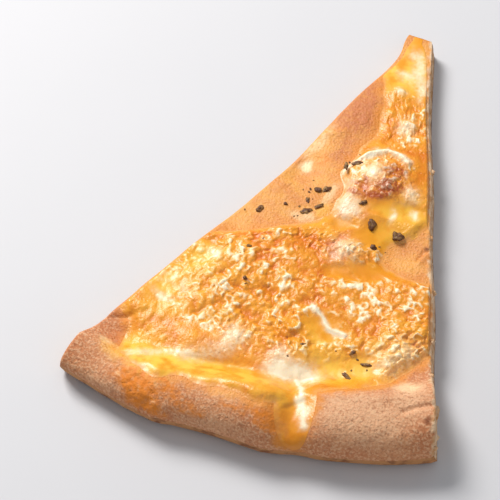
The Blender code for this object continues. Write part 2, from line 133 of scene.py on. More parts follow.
@dataclass(frozen=True)
class Grain:
    """Seeded noise in space: numbers at the corners of a lattice, blended inside each cell."""

    size: float
    seed: int = 0

    def corner(self, cell: Array) -> Array:
        """Gives each lattice corner a number from 0 to 1, by mixing the bits of its place.

        Args:
            cell: Whole-numbered places, in the last axis.

        Returns:
            A number for each place.
        """
        x, y, z = np.moveaxis(cell.astype(np.int64), -1, 0)
        mixed = (x * 73856093) ^ (y * 19349663) ^ (z * 83492791) ^ (self.seed * 2654435 + 97)
        mixed = ((mixed ^ ((mixed & 0xFFFFFFFF) >> 15)) * 2246822519) & 0xFFFFFFFF
        mixed = ((mixed ^ (mixed >> 13)) * 3266489) & 0xFFFFFFFF
        return ((mixed ^ (mixed >> 16)) & 0xFFFFFF) / float(0xFFFFFF)

    def value(self, points: Array) -> Array:
        """Blends the eight corners round each point, weighted by its eased place in the cell.

        Args:
            points: Places in space, in the last axis.

        Returns:
            Smooth noise from -1 to 1.
        """
        place = points / self.size
        base = np.floor(place)
        t = place - base
        t = t * t * t * (t * (6.0 * t - 15.0) + 10.0)
        total = np.zeros(points.shape[:-1])
        for corner in np.ndindex(2, 2, 2):
            weight = np.where(np.array(corner) == 1, t, 1.0 - t).prod(axis=-1)
            total += weight * self.corner(base + corner)
        return 2.0 * total - 1.0

    def layers(self, points: Array, count: int = 3) -> Array:
        """Sums the noise with ever finer copies, each of half the size and 0.55 of the strength.

        Args:
            points: Places in space, in the last axis.
            count: How many copies are summed.

        Returns:
            Uneven noise of about -1 to 1.
        """
        total = np.zeros(points.shape[:-1])
        for step in range(count):
            finer = Grain(self.size * 0.5 ** step, self.seed + 31 * step)
            total += 0.55 ** step * finer.value(points + 0.37 * self.size * step)
        return total / 1.3

    def knobs(self, points: Array, spread: float = 0.75) -> Array:
        """Rounds each cell into a knob: 1 minus the squared distance over the spread, at least 0.

        Args:
            points: Places in space, in the last axis.
            spread: The distance at which a knob ends, in cell sizes.

        Returns:
            Heights of the knobs, from 0 to 1.
        """
        return np.clip(1.0 - (self.cells(points) / spread) ** 2, 0.0, 1.0)

    def cells(self, points: Array) -> Array:
        """Measures how far each point is from the nearest of one random place per lattice cell.

        Args:
            points: Places in space, in the last axis.

        Returns:
            Distances in cell sizes.
        """
        place = points / self.size
        base = np.floor(place)
        nearest = np.full(points.shape[:-1], 9.0)
        shifts = [Grain(1.0, self.seed + turn) for turn in (11, 12, 13)]
        for step in np.ndindex(3, 3, 3):
            cell = base + np.array(step) - 1.0
            spot = cell + np.stack([shift.corner(cell) for shift in shifts], axis=-1)
            nearest = np.minimum(nearest, np.linalg.norm(place - spot, axis=-1))
        return nearest


def unrolled(s: Array, phi: Array) -> tuple[Array, Array]:
    """Gives x and y from the apex of places on the top, laid out flat."""
    return s * np.sin(phi), -s * np.cos(phi)


def flat_points(s: Array, phi: Array) -> Array:
    """Gives the same places as points at height 0, in the last axis."""
    x, y = unrolled(s, phi)
    return np.stack([x, y, np.zeros(x.shape)], axis=-1)


def bent_plan(flat: Array, reach: float, size: float, seed: int) -> tuple[Array, Array]:
    """Moves x and y by noise, so that a mark's outline wanders.

    Args:
        flat: Places as points at height 0.
        reach: How far they move.
        size: The noise's size.
        seed: The seed for x; y takes the next one.

    Returns:
        The moved x and y.
    """
    x, y = (flat[..., axis] + reach * Grain(size, seed + axis).layers(flat, 2) for axis in (0, 1))
    return x, y


@dataclass(frozen=True)
class Patch:
    """A soft elliptical patch of the slice's top, its long way given along and across the radius."""

    r: float
    phi: float
    along: float
    across: float
    strength: float = 1.0

    def reach(self, x: Array, y: Array) -> Array:
        """Gives the squared distance from the patch's middle, in its own half sizes."""
        angle = math.radians(self.phi)
        run = (x * math.sin(angle) - y * math.cos(angle) - self.r) / self.along
        side = (x * math.cos(angle) + y * math.sin(angle)) / self.across
        return run * run + side * side

    def bell(self, x: Array, y: Array) -> Array:
        """Gives a bell over the patch: the strength times e to the minus squared distance."""
        return self.strength * np.exp(-self.reach(x, y))

    def plateau(self, x: Array, y: Array) -> Array:
        """Gives a flat-topped bell: the strength times e to the minus fourth power of distance."""
        return self.strength * np.exp(-self.reach(x, y) ** 2)


@dataclass(frozen=True)
class Trail:
    """A soft line over the slice's top through a few knots (r, phi in degrees)."""

    knots: Knots
    half_width: float
    strength: float = 1.0

    def bell(self, x: Array, y: Array) -> Array:
        """Gives a bell across the line, from the distance to the nearest of its stretches.

        Args:
            x: Places across the slice, from the apex.
            y: Places along the slice, from the apex.

        Returns:
            The strength on the line, fading to 0 beside it.
        """
        ends = np.array([polar(r, phi) for r, phi in self.knots])
        nearest = np.full(np.broadcast(x, y).shape, 1.0)
        for (x0, y0), (x1, y1) in zip(ends[:-1], ends[1:]):
            dx, dy = x1 - x0, y1 - y0
            t = np.clip(((x - x0) * dx + (y - y0) * dy) / (dx * dx + dy * dy), 0.0, 1.0)
            nearest = np.minimum(nearest, np.hypot(x - x0 - dx * t, y - y0 - dy * t))
        return self.strength * np.exp(-(nearest / self.half_width) ** 2)


def summed(marks: tuple[Patch | Trail, ...], x: Array, y: Array) -> Array:
    """Adds up the bells of several marks."""
    return sum(mark.bell(x, y) for mark in marks)


def strongest(patches: tuple[Patch, ...], x: Array, y: Array) -> Array:
    """Takes the largest of several patches' plateaus at each place."""
    return np.max([patch.plateau(x, y) for patch in patches], axis=0)


@dataclass(frozen=True)
class Outline:
    """The slice in plan: a wedge with a wavy rim, slightly wandering cuts and a blunt tip."""

    half_angle: float = math.radians(20.6)
    rim: float = 0.1446
    rim_skew: float = 0.0054
    bulge: tuple[float, float, float] = (0.0020, math.radians(-13.5), math.radians(6.5))
    waves: tuple[tuple[float, float, float], ...] = ((0.0004, 11.0, 0.6), (0.0003, 27.0, 0.0))
    tip: float = 0.0010
    tip_half_width: float = 0.0028
    tip_shift: float = -0.0020
    tip_fade: float = 0.0080
    left_wander: tuple[float, float, float] = (0.0014, 0.100, 0.018)
    right_wander: tuple[float, float, float] = (0.0003, 0.041, 0.010)
    left_corner: tuple[float, float, float] = (0.0020, 0.120, 0.022)
    edge_power: int = 6
    drip_phi: float = math.radians(5.65)
    drip_slant: float = math.radians(100.0)
    drip_half_width: float = 0.0052
    drip_notch: float = 0.0009

    def drip_middle(self, r: Array) -> Array:
        """Gives the angle of the middle of the butter's fold, which turns a little outwards."""
        return self.drip_phi + self.drip_slant * (r - self.rim)

    def drip_fold(self, r: Array, phi: Array) -> Array:
        """Says how far a place is inside the fold that the butter runs through, from 0 to 1."""
        return np.exp(-(r * (phi - self.drip_middle(r)) / self.drip_half_width) ** 2)

    def rim_radius(self, phi: Array) -> Array:
        """Gives the outer radius: longer on the left, slightly wavy, notched at the fold.

        Args:
            phi: Angles from the middle line.

        Returns:
            The radius at each angle.
        """
        share = phi / self.half_angle
        waves = sum(height * np.sin(pitch * phi + phase) for height, pitch, phase in self.waves)
        bulge = self.bulge[0] * np.exp(-((phi - self.bulge[1]) / self.bulge[2]) ** 2)
        notch = self.drip_notch * self.drip_fold(self.rim, phi)
        return self.rim - self.rim_skew * share + bulge + waves - notch

    def edge_shift(self, r: Array, phi: Array) -> Array:
        """Moves the cut edges sideways by a cosine along the radius, because no cut is straight.

        Args:
            r: Radii.
            phi: Angles from the middle line.

        Returns:
            The shift in x, which fades out away from the cuts.
        """
        share = phi / self.half_angle
        left, right = (reach * np.cos(2.0 * math.pi * (r - start) / length)
                       for reach, length, start in (self.left_wander, self.right_wander))
        left = left + self.left_corner[0] * ease((r - self.left_corner[1]) / self.left_corner[2])
        return np.where(share < 0.0, -left, right) * np.abs(share) ** self.edge_power

    def plan(self, r: Array, phi: Array) -> tuple[Array, Array]:
        """Turns r and phi into x and y from the apex, round a blunt tip that leans to the left."""
        lean = self.tip_shift + self.tip_half_width * phi / self.half_angle
        blunt = lean * np.exp(-(r / self.tip_fade) ** 2)
        return r * np.sin(phi) + self.edge_shift(r, phi) + blunt, -r * np.cos(phi)

    def edge_distance(self, r: Array, phi: Array) -> Array:
        """Gives how far a place is from the nearer cut, measured in x."""
        x = self.plan(r, phi)[0]
        left = self.plan(r, np.full_like(phi, -self.half_angle))[0]
        right = self.plan(r, np.full_like(phi, self.half_angle))[0]
        return np.minimum(x - left, right - x)


@dataclass(frozen=True)
class Dough:
    """The top of the dough: thin at the tip, hollow behind the rim, round over the rim."""

    outline: Outline = Outline()
    tip_height: float = 0.0068
    middle_height: float = 0.0086
    tip_run: float = 0.060
    rim_rise: float = 0.0058
    rim_rise_skew: float = 0.0007
    rim_band: float = 0.0116
    rim_band_skew: float = 0.0030
    rim_fall: float = 0.0105
    rim_swell: tuple[float, float, float] = (0.10, 13.0, 1.0)
    rim_end_drop: float = 0.28
    uneven_height: float = 0.00028
    uneven_wavelength: float = 0.026
    trough_depth: float = 0.0011
    trough_back: float = 0.0217
    trough_back_skew: float = 0.0086
    trough_width: float = 0.0055
    nose_reach: float = 0.0090
    nose_under: float = 0.0045
    widest_height: float = 0.0062
    drip_depth: float = 0.0031
    fold_fall: float = 0.0170
    slope_step: float = 0.0002
    # heights on the flat, and what the rim adds
    wave_height: tuple[float, float] = (0.00016, 0.00010)
    lump_height: tuple[float, float] = (0.00007, 0.00007)
    grain_height: tuple[float, float] = (0.00002, 0.00003)
    blister_height: tuple[float, float] = (0.00055, 0.00025)
    edge_radius: float = 0.0009
    edge_drop: float = 0.0006
    swells: tuple[Patch, ...] = (
        Patch(0.035, -12.0, 0.011, 0.007, 0.0011), Patch(0.056, 4.7, 0.011, 0.011, 0.0010),
        Patch(0.060, -16.3, 0.006, 0.005, -0.0010), Patch(0.076, 16.0, 0.006, 0.008, -0.0006),
        Patch(0.136, -17.2, 0.006, 0.008, -0.0018), Patch(0.145, -11.6, 0.006, 0.008, -0.0005),
        Patch(0.127, -4.4, 0.004, 0.009, -0.0006), Patch(0.124, -9.0, 0.0035, 0.011, 0.0009),
        Patch(0.098, 11.0, 0.012, 0.009, -0.0006), Patch(0.134, 14.0, 0.010, 0.010, 0.0006),
        Patch(0.093, -13.0, 0.014, 0.010, 0.0005),
    )
    blisters: tuple[Patch, ...] = (
        Patch(0.1455, -12.2, 0.0036, 0.0075), Patch(0.1480, -10.0, 0.0030, 0.0050, 0.8),
        Patch(0.0660, -17.0, 0.0050, 0.0040, 0.35), Patch(0.0350, -13.0, 0.0080, 0.0060, 0.30),
        Patch(0.1260, -18.8, 0.0040, 0.0050, 0.35),
    )
    creases: tuple[Trail, ...] = (
        Trail(((0.1325, -21.2), (0.129, -19.5), (0.1245, -18.0)), 0.0008, -0.0006),
        Trail(((0.1275, 20.6), (0.1285, 18.4), (0.1300, 17.0)), 0.0007, -0.0007),
        Trail(((0.0745, 20.9), (0.0758, 19.0), (0.0785, 17.7)), 0.0005, -0.0007),
        Trail(((0.0755, 21.0), (0.0770, 19.2), (0.0795, 18.0)), 0.0008, 0.0005),
        Trail(((0.0475, -18.5), (0.0455, -16.0), (0.0435, -13.5)), 0.0012, 0.0004),
    )

    def height(self, r: Array, phi: Array) -> Array:
        """Gives the top's height as far out as the rim's crest, before the fine relief.

        It is the body's eased thickness, plus the rim's eased rise, minus the hollow behind it
        and the butter's fold, plus waves and soft swells.

        Args:
            r: Radii.
            phi: Angles from the middle line.

        Returns:
            Heights over the underside.
        """
        share = phi / self.outline.half_angle
        back = self.outline.rim_radius(phi) - r
        rise = self.middle_height - self.tip_height
        body = self.tip_height + rise * ease((r - self.outline.tip) / self.tip_run)
        band = self.rim_band + self.rim_band_skew * share
        swell = 1.0 + self.rim_swell[0] * np.sin(self.rim_swell[1] * phi + self.rim_swell[2])
        drop = 1.0 - self.rim_end_drop * ease(-3.0 * share - 2.0)
        rim = (self.rim_rise + self.rim_rise_skew * share) * swell * drop
        rim = rim * (1.0 - ease((back - band) / self.rim_fall))
        hollow = (back - self.trough_back - self.trough_back_skew * share) / self.trough_width
        fold = self.outline.drip_fold(r, phi) * (1.0 - ease((back - band) / self.fold_fall))
        x, y = unrolled(r, phi)
        waves = self.uneven_height * ripple(x, y, self.uneven_wavelength, seed=3)
        dips = self.trough_depth * np.exp(-hollow * hollow) + self.drip_depth * fold
        return body + rim - dips + waves + summed(self.swells, x, y)

    def nose_start(self, phi: Array) -> Array:
        """Gives the radius where the rim's crest starts to round over."""
        return self.outline.rim_radius(phi) - self.nose_reach

    def nose_length(self, phi: Array) -> Array:
        """Gives the length of the rim's upper arc, as the quarter of an ellipse."""
        rise = self.height(self.nose_start(phi), phi) - self.widest_height
        return 0.5 * math.pi * np.sqrt((self.nose_reach ** 2 + rise ** 2) / 2.0)

    def crust(self, s: Array, phi: Array) -> Array:
        """Gives points of the smooth top: flat out to the nose, then down a quarter ellipse.

        Args:
            s: Path lengths from the apex.
            phi: Angles from the middle line.

        Returns:
            Points from the apex, in the last axis.
        """
        start = self.nose_start(phi)
        angle = np.clip((s - start) / self.nose_length(phi), 0.0, 1.0) * 0.5 * math.pi
        r = np.where(s < start, s, start + self.nose_reach * np.sin(angle))
        flat = self.height(np.minimum(s, start), phi)
        z = self.widest_height + (flat - self.widest_height) * np.cos(angle)
        x, y = self.outline.plan(r, phi)
        return np.stack(np.broadcast_arrays(x, y, z), axis=-1)

    def normal(self, s: Array, phi: Array) -> Array:
        """Gives the outward direction of the top, across its slopes along and across."""
        along = self.crust(s + self.slope_step, phi) - self.crust(s - self.slope_step, phi)
        turn = self.slope_step / np.maximum(s, self.slope_step)
        across = self.crust(s, phi + turn) - self.crust(s, phi - turn)
        normal = np.cross(along, across)
        return normal / np.linalg.norm(normal, axis=-1, keepdims=True)

    def surface(self, s: Array, phi: Array) -> Array:
        """Gives points of the baked top: the smooth one, moved along its normal by the relief.

        The relief is layered noise, stronger on the rim, plus blisters and creases. It rounds
        off next to the cuts.

        Args:
            s: Path lengths from the apex.
            phi: Angles from the middle line.

        Returns:
            Points from the apex, in the last axis.
        """
        s, phi = np.broadcast_arrays(s, phi)
        points = self.crust(s, phi)
        x, y = points[..., 0], points[..., 1]
        rim = ease((s - 0.116) / 0.014)
        wave, lump, grain = (flat + more * rim for flat, more in
                             (self.wave_height, self.lump_height, self.grain_height))
        relief = wave * Grain(0.0085, 5).value(points) + lump * Grain(0.0028, 6).layers(points, 2)
        relief = relief + grain * Grain(0.0009, 7).value(points)
        large, small = self.blister_height
        blisters = large * Grain(0.0026, 8).knobs(points) + small * Grain(0.0013, 9).knobs(points)
        relief = relief + strongest(self.blisters, x, y) * blisters + summed(self.creases, x, y)
        edge = self.outline.edge_distance(np.minimum(s, self.outline.rim), phi)
        bend = np.clip(1.0 - edge / self.edge_radius, 0.0, 1.0) * ease(s / 0.02)
        relief = relief - self.edge_drop * (1.0 - np.sqrt(1.0 - 0.98 * bend * bend))
        return points + self.normal(s, phi) * relief[..., None]


# strands of cheese, each one both raised and pale
BOW: Knots = ((0.0564, -6.0), (0.0513, -4.3), (0.0474, 0.7), (0.0455, 5.2), (0.0461, 9.7), (0.0484, 12.8))
HOOK: Knots = ((0.1010, 1.8), (0.1056, 4.9), (0.1066, 7.6))
OVER_RIM: Knots = ((0.1205, 3.0), (0.1247, 3.6), (0.1279, 4.4), (0.1330, 5.5), (0.1375, 6.2))
LEFT_STREAK: Knots = ((0.1385, -15.6), (0.1345, -13.6), (0.1309, -12.0), (0.1280, -10.0))
INNER_STREAK: Knots = ((0.1300, -10.6), (0.1262, -8.4), (0.1225, -6.8), (0.1170, -6.2))


@dataclass(frozen=True)
class CurlField:
    """Shreds of grated cheese that melted into small curls: seeded arcs with round backs."""

    count: int = 900
    seed: int = 17
    radius: tuple[float, float] = (0.0008, 0.0023)
    half_span: tuple[float, float] = (0.5, 2.3)
    half_width: tuple[float, float] = (0.00026, 0.00040)
    rise: tuple[float, float] = (0.00020, 0.00060)
    across: tuple[float, float] = (-0.048, 0.048)
    along: tuple[float, float] = (-0.125, -0.016)

    def height(self, x: Array, y: Array) -> Array:
        """Lays the arcs down over the slice and takes the highest at each place.

        Across an arc its height is a bell of the distance from the circle, or from the arc's end.

        Args:
            x: Places across the slice, from the apex.
            y: Places along the slice, from the apex.

        Returns:
            Heights of the curls.
        """
        draw = np.random.default_rng(self.seed)
        field = np.zeros(x.shape)
        for _ in range(self.count):
            middle_x, middle_y = draw.uniform(*self.across), draw.uniform(*self.along)
            radius = draw.uniform(*self.radius)
            turn, span = draw.uniform(-math.pi, math.pi), draw.uniform(*self.half_span)
            width, rise = draw.uniform(*self.half_width), draw.uniform(*self.rise)
            aside, ahead = x - middle_x, y - middle_y
            reach = radius + 3.0 * width
            near = (np.abs(aside) < reach) & (np.abs(ahead) < reach)
            if not near.any():
                continue
            away = np.hypot(aside[near], ahead[near])
            swing = np.abs((np.arctan2(ahead[near], aside[near]) - turn + math.pi)
                           % (2.0 * math.pi) - math.pi)
            past = radius * np.clip(swing - span, 0.0, 1.5)
            gap = np.hypot(away - radius, past) / width
            field[near] = np.maximum(field[near], rise * np.exp(-gap * gap))
        return field


@dataclass(frozen=True)
class Shreds:
    """The relief of the grated cheese: size and height of each kind, and how far it sinks."""

    clump: tuple[float, float] = (0.0050, 0.00080)
    knot: tuple[float, float] = (0.0019, 0.00052)
    grit: tuple[float, float] = (0.0010, 0.00020)
    loop: tuple[float, float] = (0.0030, 0.00028)
    loop_radius: float = 0.38
    loop_width: float = 0.125
    curl_share: float = 0.6
    soft_height: float = 0.00012
    sink: float = 0.00055
    pool_sink: float = 0.00062
    least: float = 0.22
    vigour: tuple[float, float] = (0.95, 0.55)
    # what clumps, knots, grit and loops add to the pale crests, partly a painted highlight, and what a
    # metre of curl adds
    paling: tuple[float, float, float, float] = (0.26, 0.42, 0.24, 0.46)
    curl_paling: float = 750.0
    crest_from: float = 0.26
    crest_drift: float = 0.26


@dataclass(frozen=True)
class CheeseMarks:
    """Where the melted cheese pools, browns, pales and roughens."""

    pools: tuple[Patch, ...] = (
        Patch(0.1400, -13.8, 0.0044, 0.0060), Patch(0.1378, -16.4, 0.0034, 0.0044),
        Patch(0.1360, -11.0, 0.0054, 0.0080), Patch(0.1325, -7.5, 0.0060, 0.0100),
        Patch(0.1285, -3.5, 0.0052, 0.0110), Patch(0.1275, 0.5, 0.0055, 0.0090),
        Patch(0.1230, 3.5, 0.0055, 0.0080), Patch(0.1190, 7.5, 0.0060, 0.0090),
        Patch(0.1155, 11.0, 0.0048, 0.0060), Patch(0.0875, 4.5, 0.0022, 0.0060),
        Patch(0.0850, 9.0, 0.0030, 0.0070), Patch(0.0830, 14.0, 0.0026, 0.0060),
        Patch(0.0640, 12.0, 0.0030, 0.0100), Patch(0.0730, 9.0, 0.0050, 0.0070),
        Patch(0.0715, 1.0, 0.0022, 0.0050), Patch(0.0150, -6.0, 0.0075, 0.0090),
        Patch(0.0060, 0.0, 0.0060, 0.0060), Patch(0.1065, 4.5, 0.0048, 0.0060),
        Patch(0.1150, -18.5, 0.0070, 0.0050, 0.6), Patch(0.1010, -17.5, 0.0040, 0.0036, 0.5),
        Patch(0.1212, 2.0, 0.0030, 0.0046),
    )
    embers: tuple[Patch, ...] = (
        Patch(0.1273, -4.3, 0.0012, 0.0032, 1.3), Patch(0.1050, -9.5, 0.0018, 0.0060, 0.8),
        Patch(0.1010, -5.5, 0.0030, 0.0060, 0.8), Patch(0.1000, -1.8, 0.0026, 0.0060, 0.9),
        Patch(0.1110, -0.6, 0.0030, 0.0020, 0.8), Patch(0.1180, -11.0, 0.0030, 0.0060, 0.6),
        Patch(0.1245, -14.5, 0.0030, 0.0040, 0.7), Patch(0.0278, 6.0, 0.0045, 0.0055),
        Patch(0.0370, 4.0, 0.0050, 0.0070), Patch(0.0410, 11.0, 0.0030, 0.0070, 0.7),
        Patch(0.0500, 16.4, 0.0070, 0.0025, 0.8), Patch(0.0500, -9.0, 0.0050, 0.0030, 0.5),
        Patch(0.0620, 8.0, 0.0018, 0.0080, 0.8), Patch(0.1340, 4.2, 0.0050, 0.0018, 0.9),
        Patch(0.1410, 4.6, 0.0050, 0.0020, 0.9), Patch(0.0860, 6.0, 0.0030, 0.0120, 0.5),
    )
    toasts: tuple[Patch, ...] = (
        Patch(0.0525, 9.8, 0.0030, 0.0034, 0.75), Patch(0.0580, 9.2, 0.0030, 0.0044, 0.85),
        Patch(0.0608, 6.0, 0.0012, 0.0040), Patch(0.0618, 1.5, 0.0009, 0.0040, 0.7),
        Patch(0.0595, 1.2, 0.0009, 0.0018, 0.6), Patch(0.0575, 1.6, 0.0014, 0.0008, 0.6),
        Patch(0.1012, -9.8, 0.0005, 0.0005),
    )
    creams: tuple[Patch | Trail, ...] = (
        Trail(BOW, 0.0010, 1.3), Trail(HOOK, 0.0008, 1.2), Trail(OVER_RIM, 0.0010),
        Trail(LEFT_STREAK, 0.0015, 0.45), Trail(INNER_STREAK, 0.0022, 0.38),
        Patch(0.1220, 0.8, 0.0024, 0.0036, 1.5), Patch(0.1205, 3.6, 0.0026, 0.0042, 1.5),
        Patch(0.1175, -6.5, 0.0030, 0.0034, 0.35), Patch(0.1130, 14.2, 0.0040, 0.0040, 0.40),
        Patch(0.1090, 17.0, 0.0034, 0.0034, 0.35), Patch(0.0540, 3.6, 0.0034, 0.0026, 0.8),
        Patch(0.0665, 0.4, 0.0036, 0.0034, 0.75), Patch(0.0615, -2.4, 0.0036, 0.0022, 0.6),
        Patch(0.0585, 15.0, 0.0024, 0.0022, 0.6), Patch(0.0526, 12.4, 0.0014, 0.0008, 0.9),
        Patch(0.0225, -2.0, 0.0014, 0.0014, 0.9), Patch(0.0160, -3.5, 0.0016, 0.0024, 0.7),
        Patch(0.0130, 9.0, 0.0040, 0.0016, 0.6), Patch(0.0200, 14.0, 0.0040, 0.0012, 0.6),
        Patch(0.0080, 0.0, 0.0020, 0.0016, 0.5), Patch(0.0345, 8.5, 0.0028, 0.0022, 0.6),
        Patch(0.0650, 16.4, 0.0010, 0.0010, 0.9), Patch(0.0662, 11.2, 0.0022, 0.0008, 0.9),
        Patch(0.0805, 3.0, 0.0038, 0.0036, 0.5), Patch(0.1175, 0.4, 0.0020, 0.0022, 0.5),
        Patch(0.0990, -16.2, 0.0010, 0.0022, 0.8), Patch(0.1180, -17.7, 0.0010, 0.0026, 0.8),
    )
    golds: tuple[Patch, ...] = (
        Patch(0.1370, -12.0, 0.0050, 0.0110), Patch(0.1365, -16.6, 0.0050, 0.0060, 0.7),
        Patch(0.1300, -4.0, 0.0050, 0.0220), Patch(0.1170, 8.0, 0.0050, 0.0130),
        Patch(0.1100, 5.0, 0.0040, 0.0060, 0.6), Patch(0.0160, -8.0, 0.0090, 0.0100),
        Patch(0.1150, -18.0, 0.0110, 0.0060, 0.8), Patch(0.1010, -17.0, 0.0070, 0.0060, 0.7),
        Patch(0.0650, 14.0, 0.0050, 0.0080, 0.8), Patch(0.0720, 15.0, 0.0040, 0.0060, 0.8),
        Patch(0.1160, -11.0, 0.0040, 0.0060, 0.3), Patch(0.1110, 15.5, 0.0060, 0.0080, 0.6),
    )
    rough_spots: tuple[Patch, ...] = (
        Patch(0.0540, 5.0, 0.0100, 0.0110, 0.60), Patch(0.0340, 8.0, 0.0090, 0.0080, 0.75),
        Patch(0.0230, 0.0, 0.0030, 0.0040, 0.7), Patch(0.1120, 15.5, 0.0050, 0.0070, 0.45),
        Patch(0.0780, 12.0, 0.0010, 0.0020, 0.3),
    )
    lumps: tuple[Patch | Trail, ...] = (
        Patch(0.056, 4.7, 0.009, 0.010, 0.0016), Patch(0.090, -9.5, 0.014, 0.012, 0.0007),
        Patch(0.104, -14.0, 0.013, 0.012, 0.0007), Patch(0.094, 0.0, 0.012, 0.012, 0.0008),
        Patch(0.098, 14.5, 0.012, 0.010, 0.0006), Patch(0.0545, 3.6, 0.0030, 0.0028, 0.0007),
        Patch(0.0660, 0.4, 0.0034, 0.0036, 0.0008), Patch(0.0620, -2.2, 0.0034, 0.0026, 0.0005),
        Patch(0.0580, 15.0, 0.0026, 0.0024, 0.0006), Patch(0.120, 1.4, 0.0034, 0.0046, 0.0009),
        Patch(0.0225, -2.0, 0.0016, 0.0018, 0.0009), Patch(0.0345, 8.5, 0.0030, 0.0026, 0.0006),
        Patch(0.111, 14.7, 0.0036, 0.0036, 0.0009), Patch(0.0805, 3.8, 0.0036, 0.0042, 0.0010),
        Patch(0.1175, -6.8, 0.0030, 0.0040, 0.0006), Trail(BOW, 0.0010, 0.0013),
        Trail(HOOK, 0.0007, 0.0007), Trail(OVER_RIM, 0.0010, 0.00025), Trail(LEFT_STREAK, 0.0014, 0.0003),
        Trail(INNER_STREAK, 0.0024, 0.0004),
    )
    rough_start: tuple[float, float] = (0.0730, 0.007)
    rough_end: tuple[float, float] = (0.1160, 0.008)


@dataclass(frozen=True)
class Layer:
    """The layer of melted cheese and garlic butter: its borders, thickness and relief."""

    dough: Dough = Dough()
    marks: CheeseMarks = CheeseMarks()
    curls: CurlField = CurlField()
    shreds: Shreds = Shreds()
    start: float = 0.0012
    knee: float = 0.0960
    thickness: float = 0.00115
    border: float = 0.00003
    border_run: float = 0.0031
    cut_run: float = 0.0008
    left_border: Knots = (
        (0.001, -20.4), (0.018, -19.9), (0.024, -14.0), (0.029, -6.0), (0.036, -3.0), (0.046, -5.2),
        (0.054, -6.5), (0.062, -3.7), (0.069, -3.4), (0.076, -7.4), (0.083, -13.0), (0.089, -17.2),
        (0.094, -20.2), (0.150, -20.4))
    right_border: Knots = (
        (0.001, 20.4), (0.066, 20.4), (0.071, 17.0), (0.076, 10.8), (0.080, 10.4), (0.084, 14.0),
        (0.087, 20.3), (0.150, 20.4))
    rim_border: Knots = (
        (-20.4, 0.1270), (-18.6, 0.1290), (-16.6, 0.1382), (-12.5, 0.1414), (-8.0, 0.1376), (2.0, 0.1352),
        (6.0, 0.1285), (9.0, 0.1250), (14.0, 0.1210), (20.4, 0.1095))
    ragged: float = 0.0011
    insets: tuple[float, float] = (0.0004, 0.0009)
    tip_share: float = 0.60
    tip_run: float = 0.030
    least_depth: float = 0.00020
    tongue_start: float = 0.0005
    tongue_run: float = 0.0030
    tongue_thinning: float = 0.85
    tongue_steepness: float = 0.3
    tongue_half_width: float = 0.0058
    tongue_end: float = 0.0008
    tongue_taper: float = 0.38
    tongue_rounding: float = 0.30
    columns: int = 236
    rows: int = 236
    rim_rows: int = 94
    tongue_rows: int = 34

    def wander(self, along: Array, seed: int) -> Array:
        """Gives how far a border strays to a side at each place along it."""
        line = np.stack([along, 0.0 * along, 0.0 * along], axis=-1)
        return self.ragged * Grain(0.0056, seed).layers(line, 2)

    def side(self, knots: Knots, r: Array, seed: int) -> Array:
        """Gives the angle of a side border, which strays where it doesn't follow a cut.

        Args:
            knots: The border's knots.
            r: Radii.
            seed: The seed of its straying.

        Returns:
            Angles in radians.
        """
        angle = np.radians(through(knots, r))
        free = ease((math.radians(20.2) - np.abs(angle)) / math.radians(2.0))
        angle = angle + free * self.wander(r, seed) / np.maximum(r, 0.01)
        half = self.dough.outline.half_angle
        left, right = (half - inset / np.maximum(r, 0.003) for inset in self.insets)
        return np.clip(angle, -left, right)

    def end(self, phi: Array) -> Array:
        """Gives how far out the layer runs, without the tongue of butter over the rim."""
        return through(self.rim_border, np.degrees(phi)) + self.wander(phi * self.dough.outline.rim, 43)

    def tongue(self, s: Array, phi: Array) -> Array:
        """Says how far a place is into the tongue of butter that runs over the rim, from 0 to 1."""
        past = s - through(self.rim_border, np.degrees(phi)) + self.tongue_start
        return ease(past / self.tongue_run)

    def fringe(self, points: Array) -> Array:
        """Says how strongly the butter tints the border there, in soft patches."""
        return 0.25 + 0.65 * ease(0.5 + 1.3 * Grain(0.0065, 92).layers(points, 2))

    def grid(self) -> tuple[Array, Array, Array]:
        """Lays out the layer: rows of one radius up to the knee, then rows spread to the border.

        The last rows are the tongue, which only the columns next to the fold fill, narrower and
        rounder towards its end.

        Returns:
            Path lengths, angles, and which cells of the grid the layer fills.
        """
        share = np.linspace(0.0, 1.0, self.columns)[None, :]
        far = np.array([[self.rim_border[-1][1]]])
        low, high = self.side(self.left_border, far, 41), self.side(self.right_border, far, 42)
        nominal = low + (high - low) * share
        end = self.end(nominal)
        spread = np.interp(np.linspace(0.0, 1.0, self.rows), (0.0, 0.28, 1.0), (0.0, 0.40, 1.0))
        body = (self.start + (self.knee - self.start) * spread)[:, None].repeat(self.columns, axis=1)
        rim = np.linspace(0.0, 1.0, self.rim_rows + 1)[1:, None]
        s = np.vstack([body, self.knee + (end - self.knee) * rim])
        left = self.side(self.left_border, s, 41)
        phi = left + (self.side(self.right_border, s, 42) - left) * share

        outline = self.dough.outline
        last = s[-1]
        offset = phi[-1] - outline.drip_middle(last)
        wet = np.abs(offset * last) < self.tongue_half_width
        step = np.linspace(0.0, 1.0, self.tongue_rows + 1)[1:, None]
        nose = np.array(outline.drip_phi)
        reach = float(self.dough.nose_start(nose) + self.dough.nose_length(nose)) - self.tongue_end
        rounding = self.tongue_rounding * (offset * last / self.tongue_half_width) ** 2
        tongue_s = last + (reach - last) * step * (1.0 - rounding)
        narrow = 1.0 - self.tongue_taper * step ** 2
        tongue_phi = outline.drip_middle(np.minimum(tongue_s, outline.rim)) + offset * narrow
        used = np.ones((len(s) + self.tongue_rows - 1, self.columns - 1), dtype=bool)
        used[len(s) - 1:] = wet[:-1] & wet[1:]
        return np.vstack([s, tongue_s]), np.vstack([phi, tongue_phi]), used

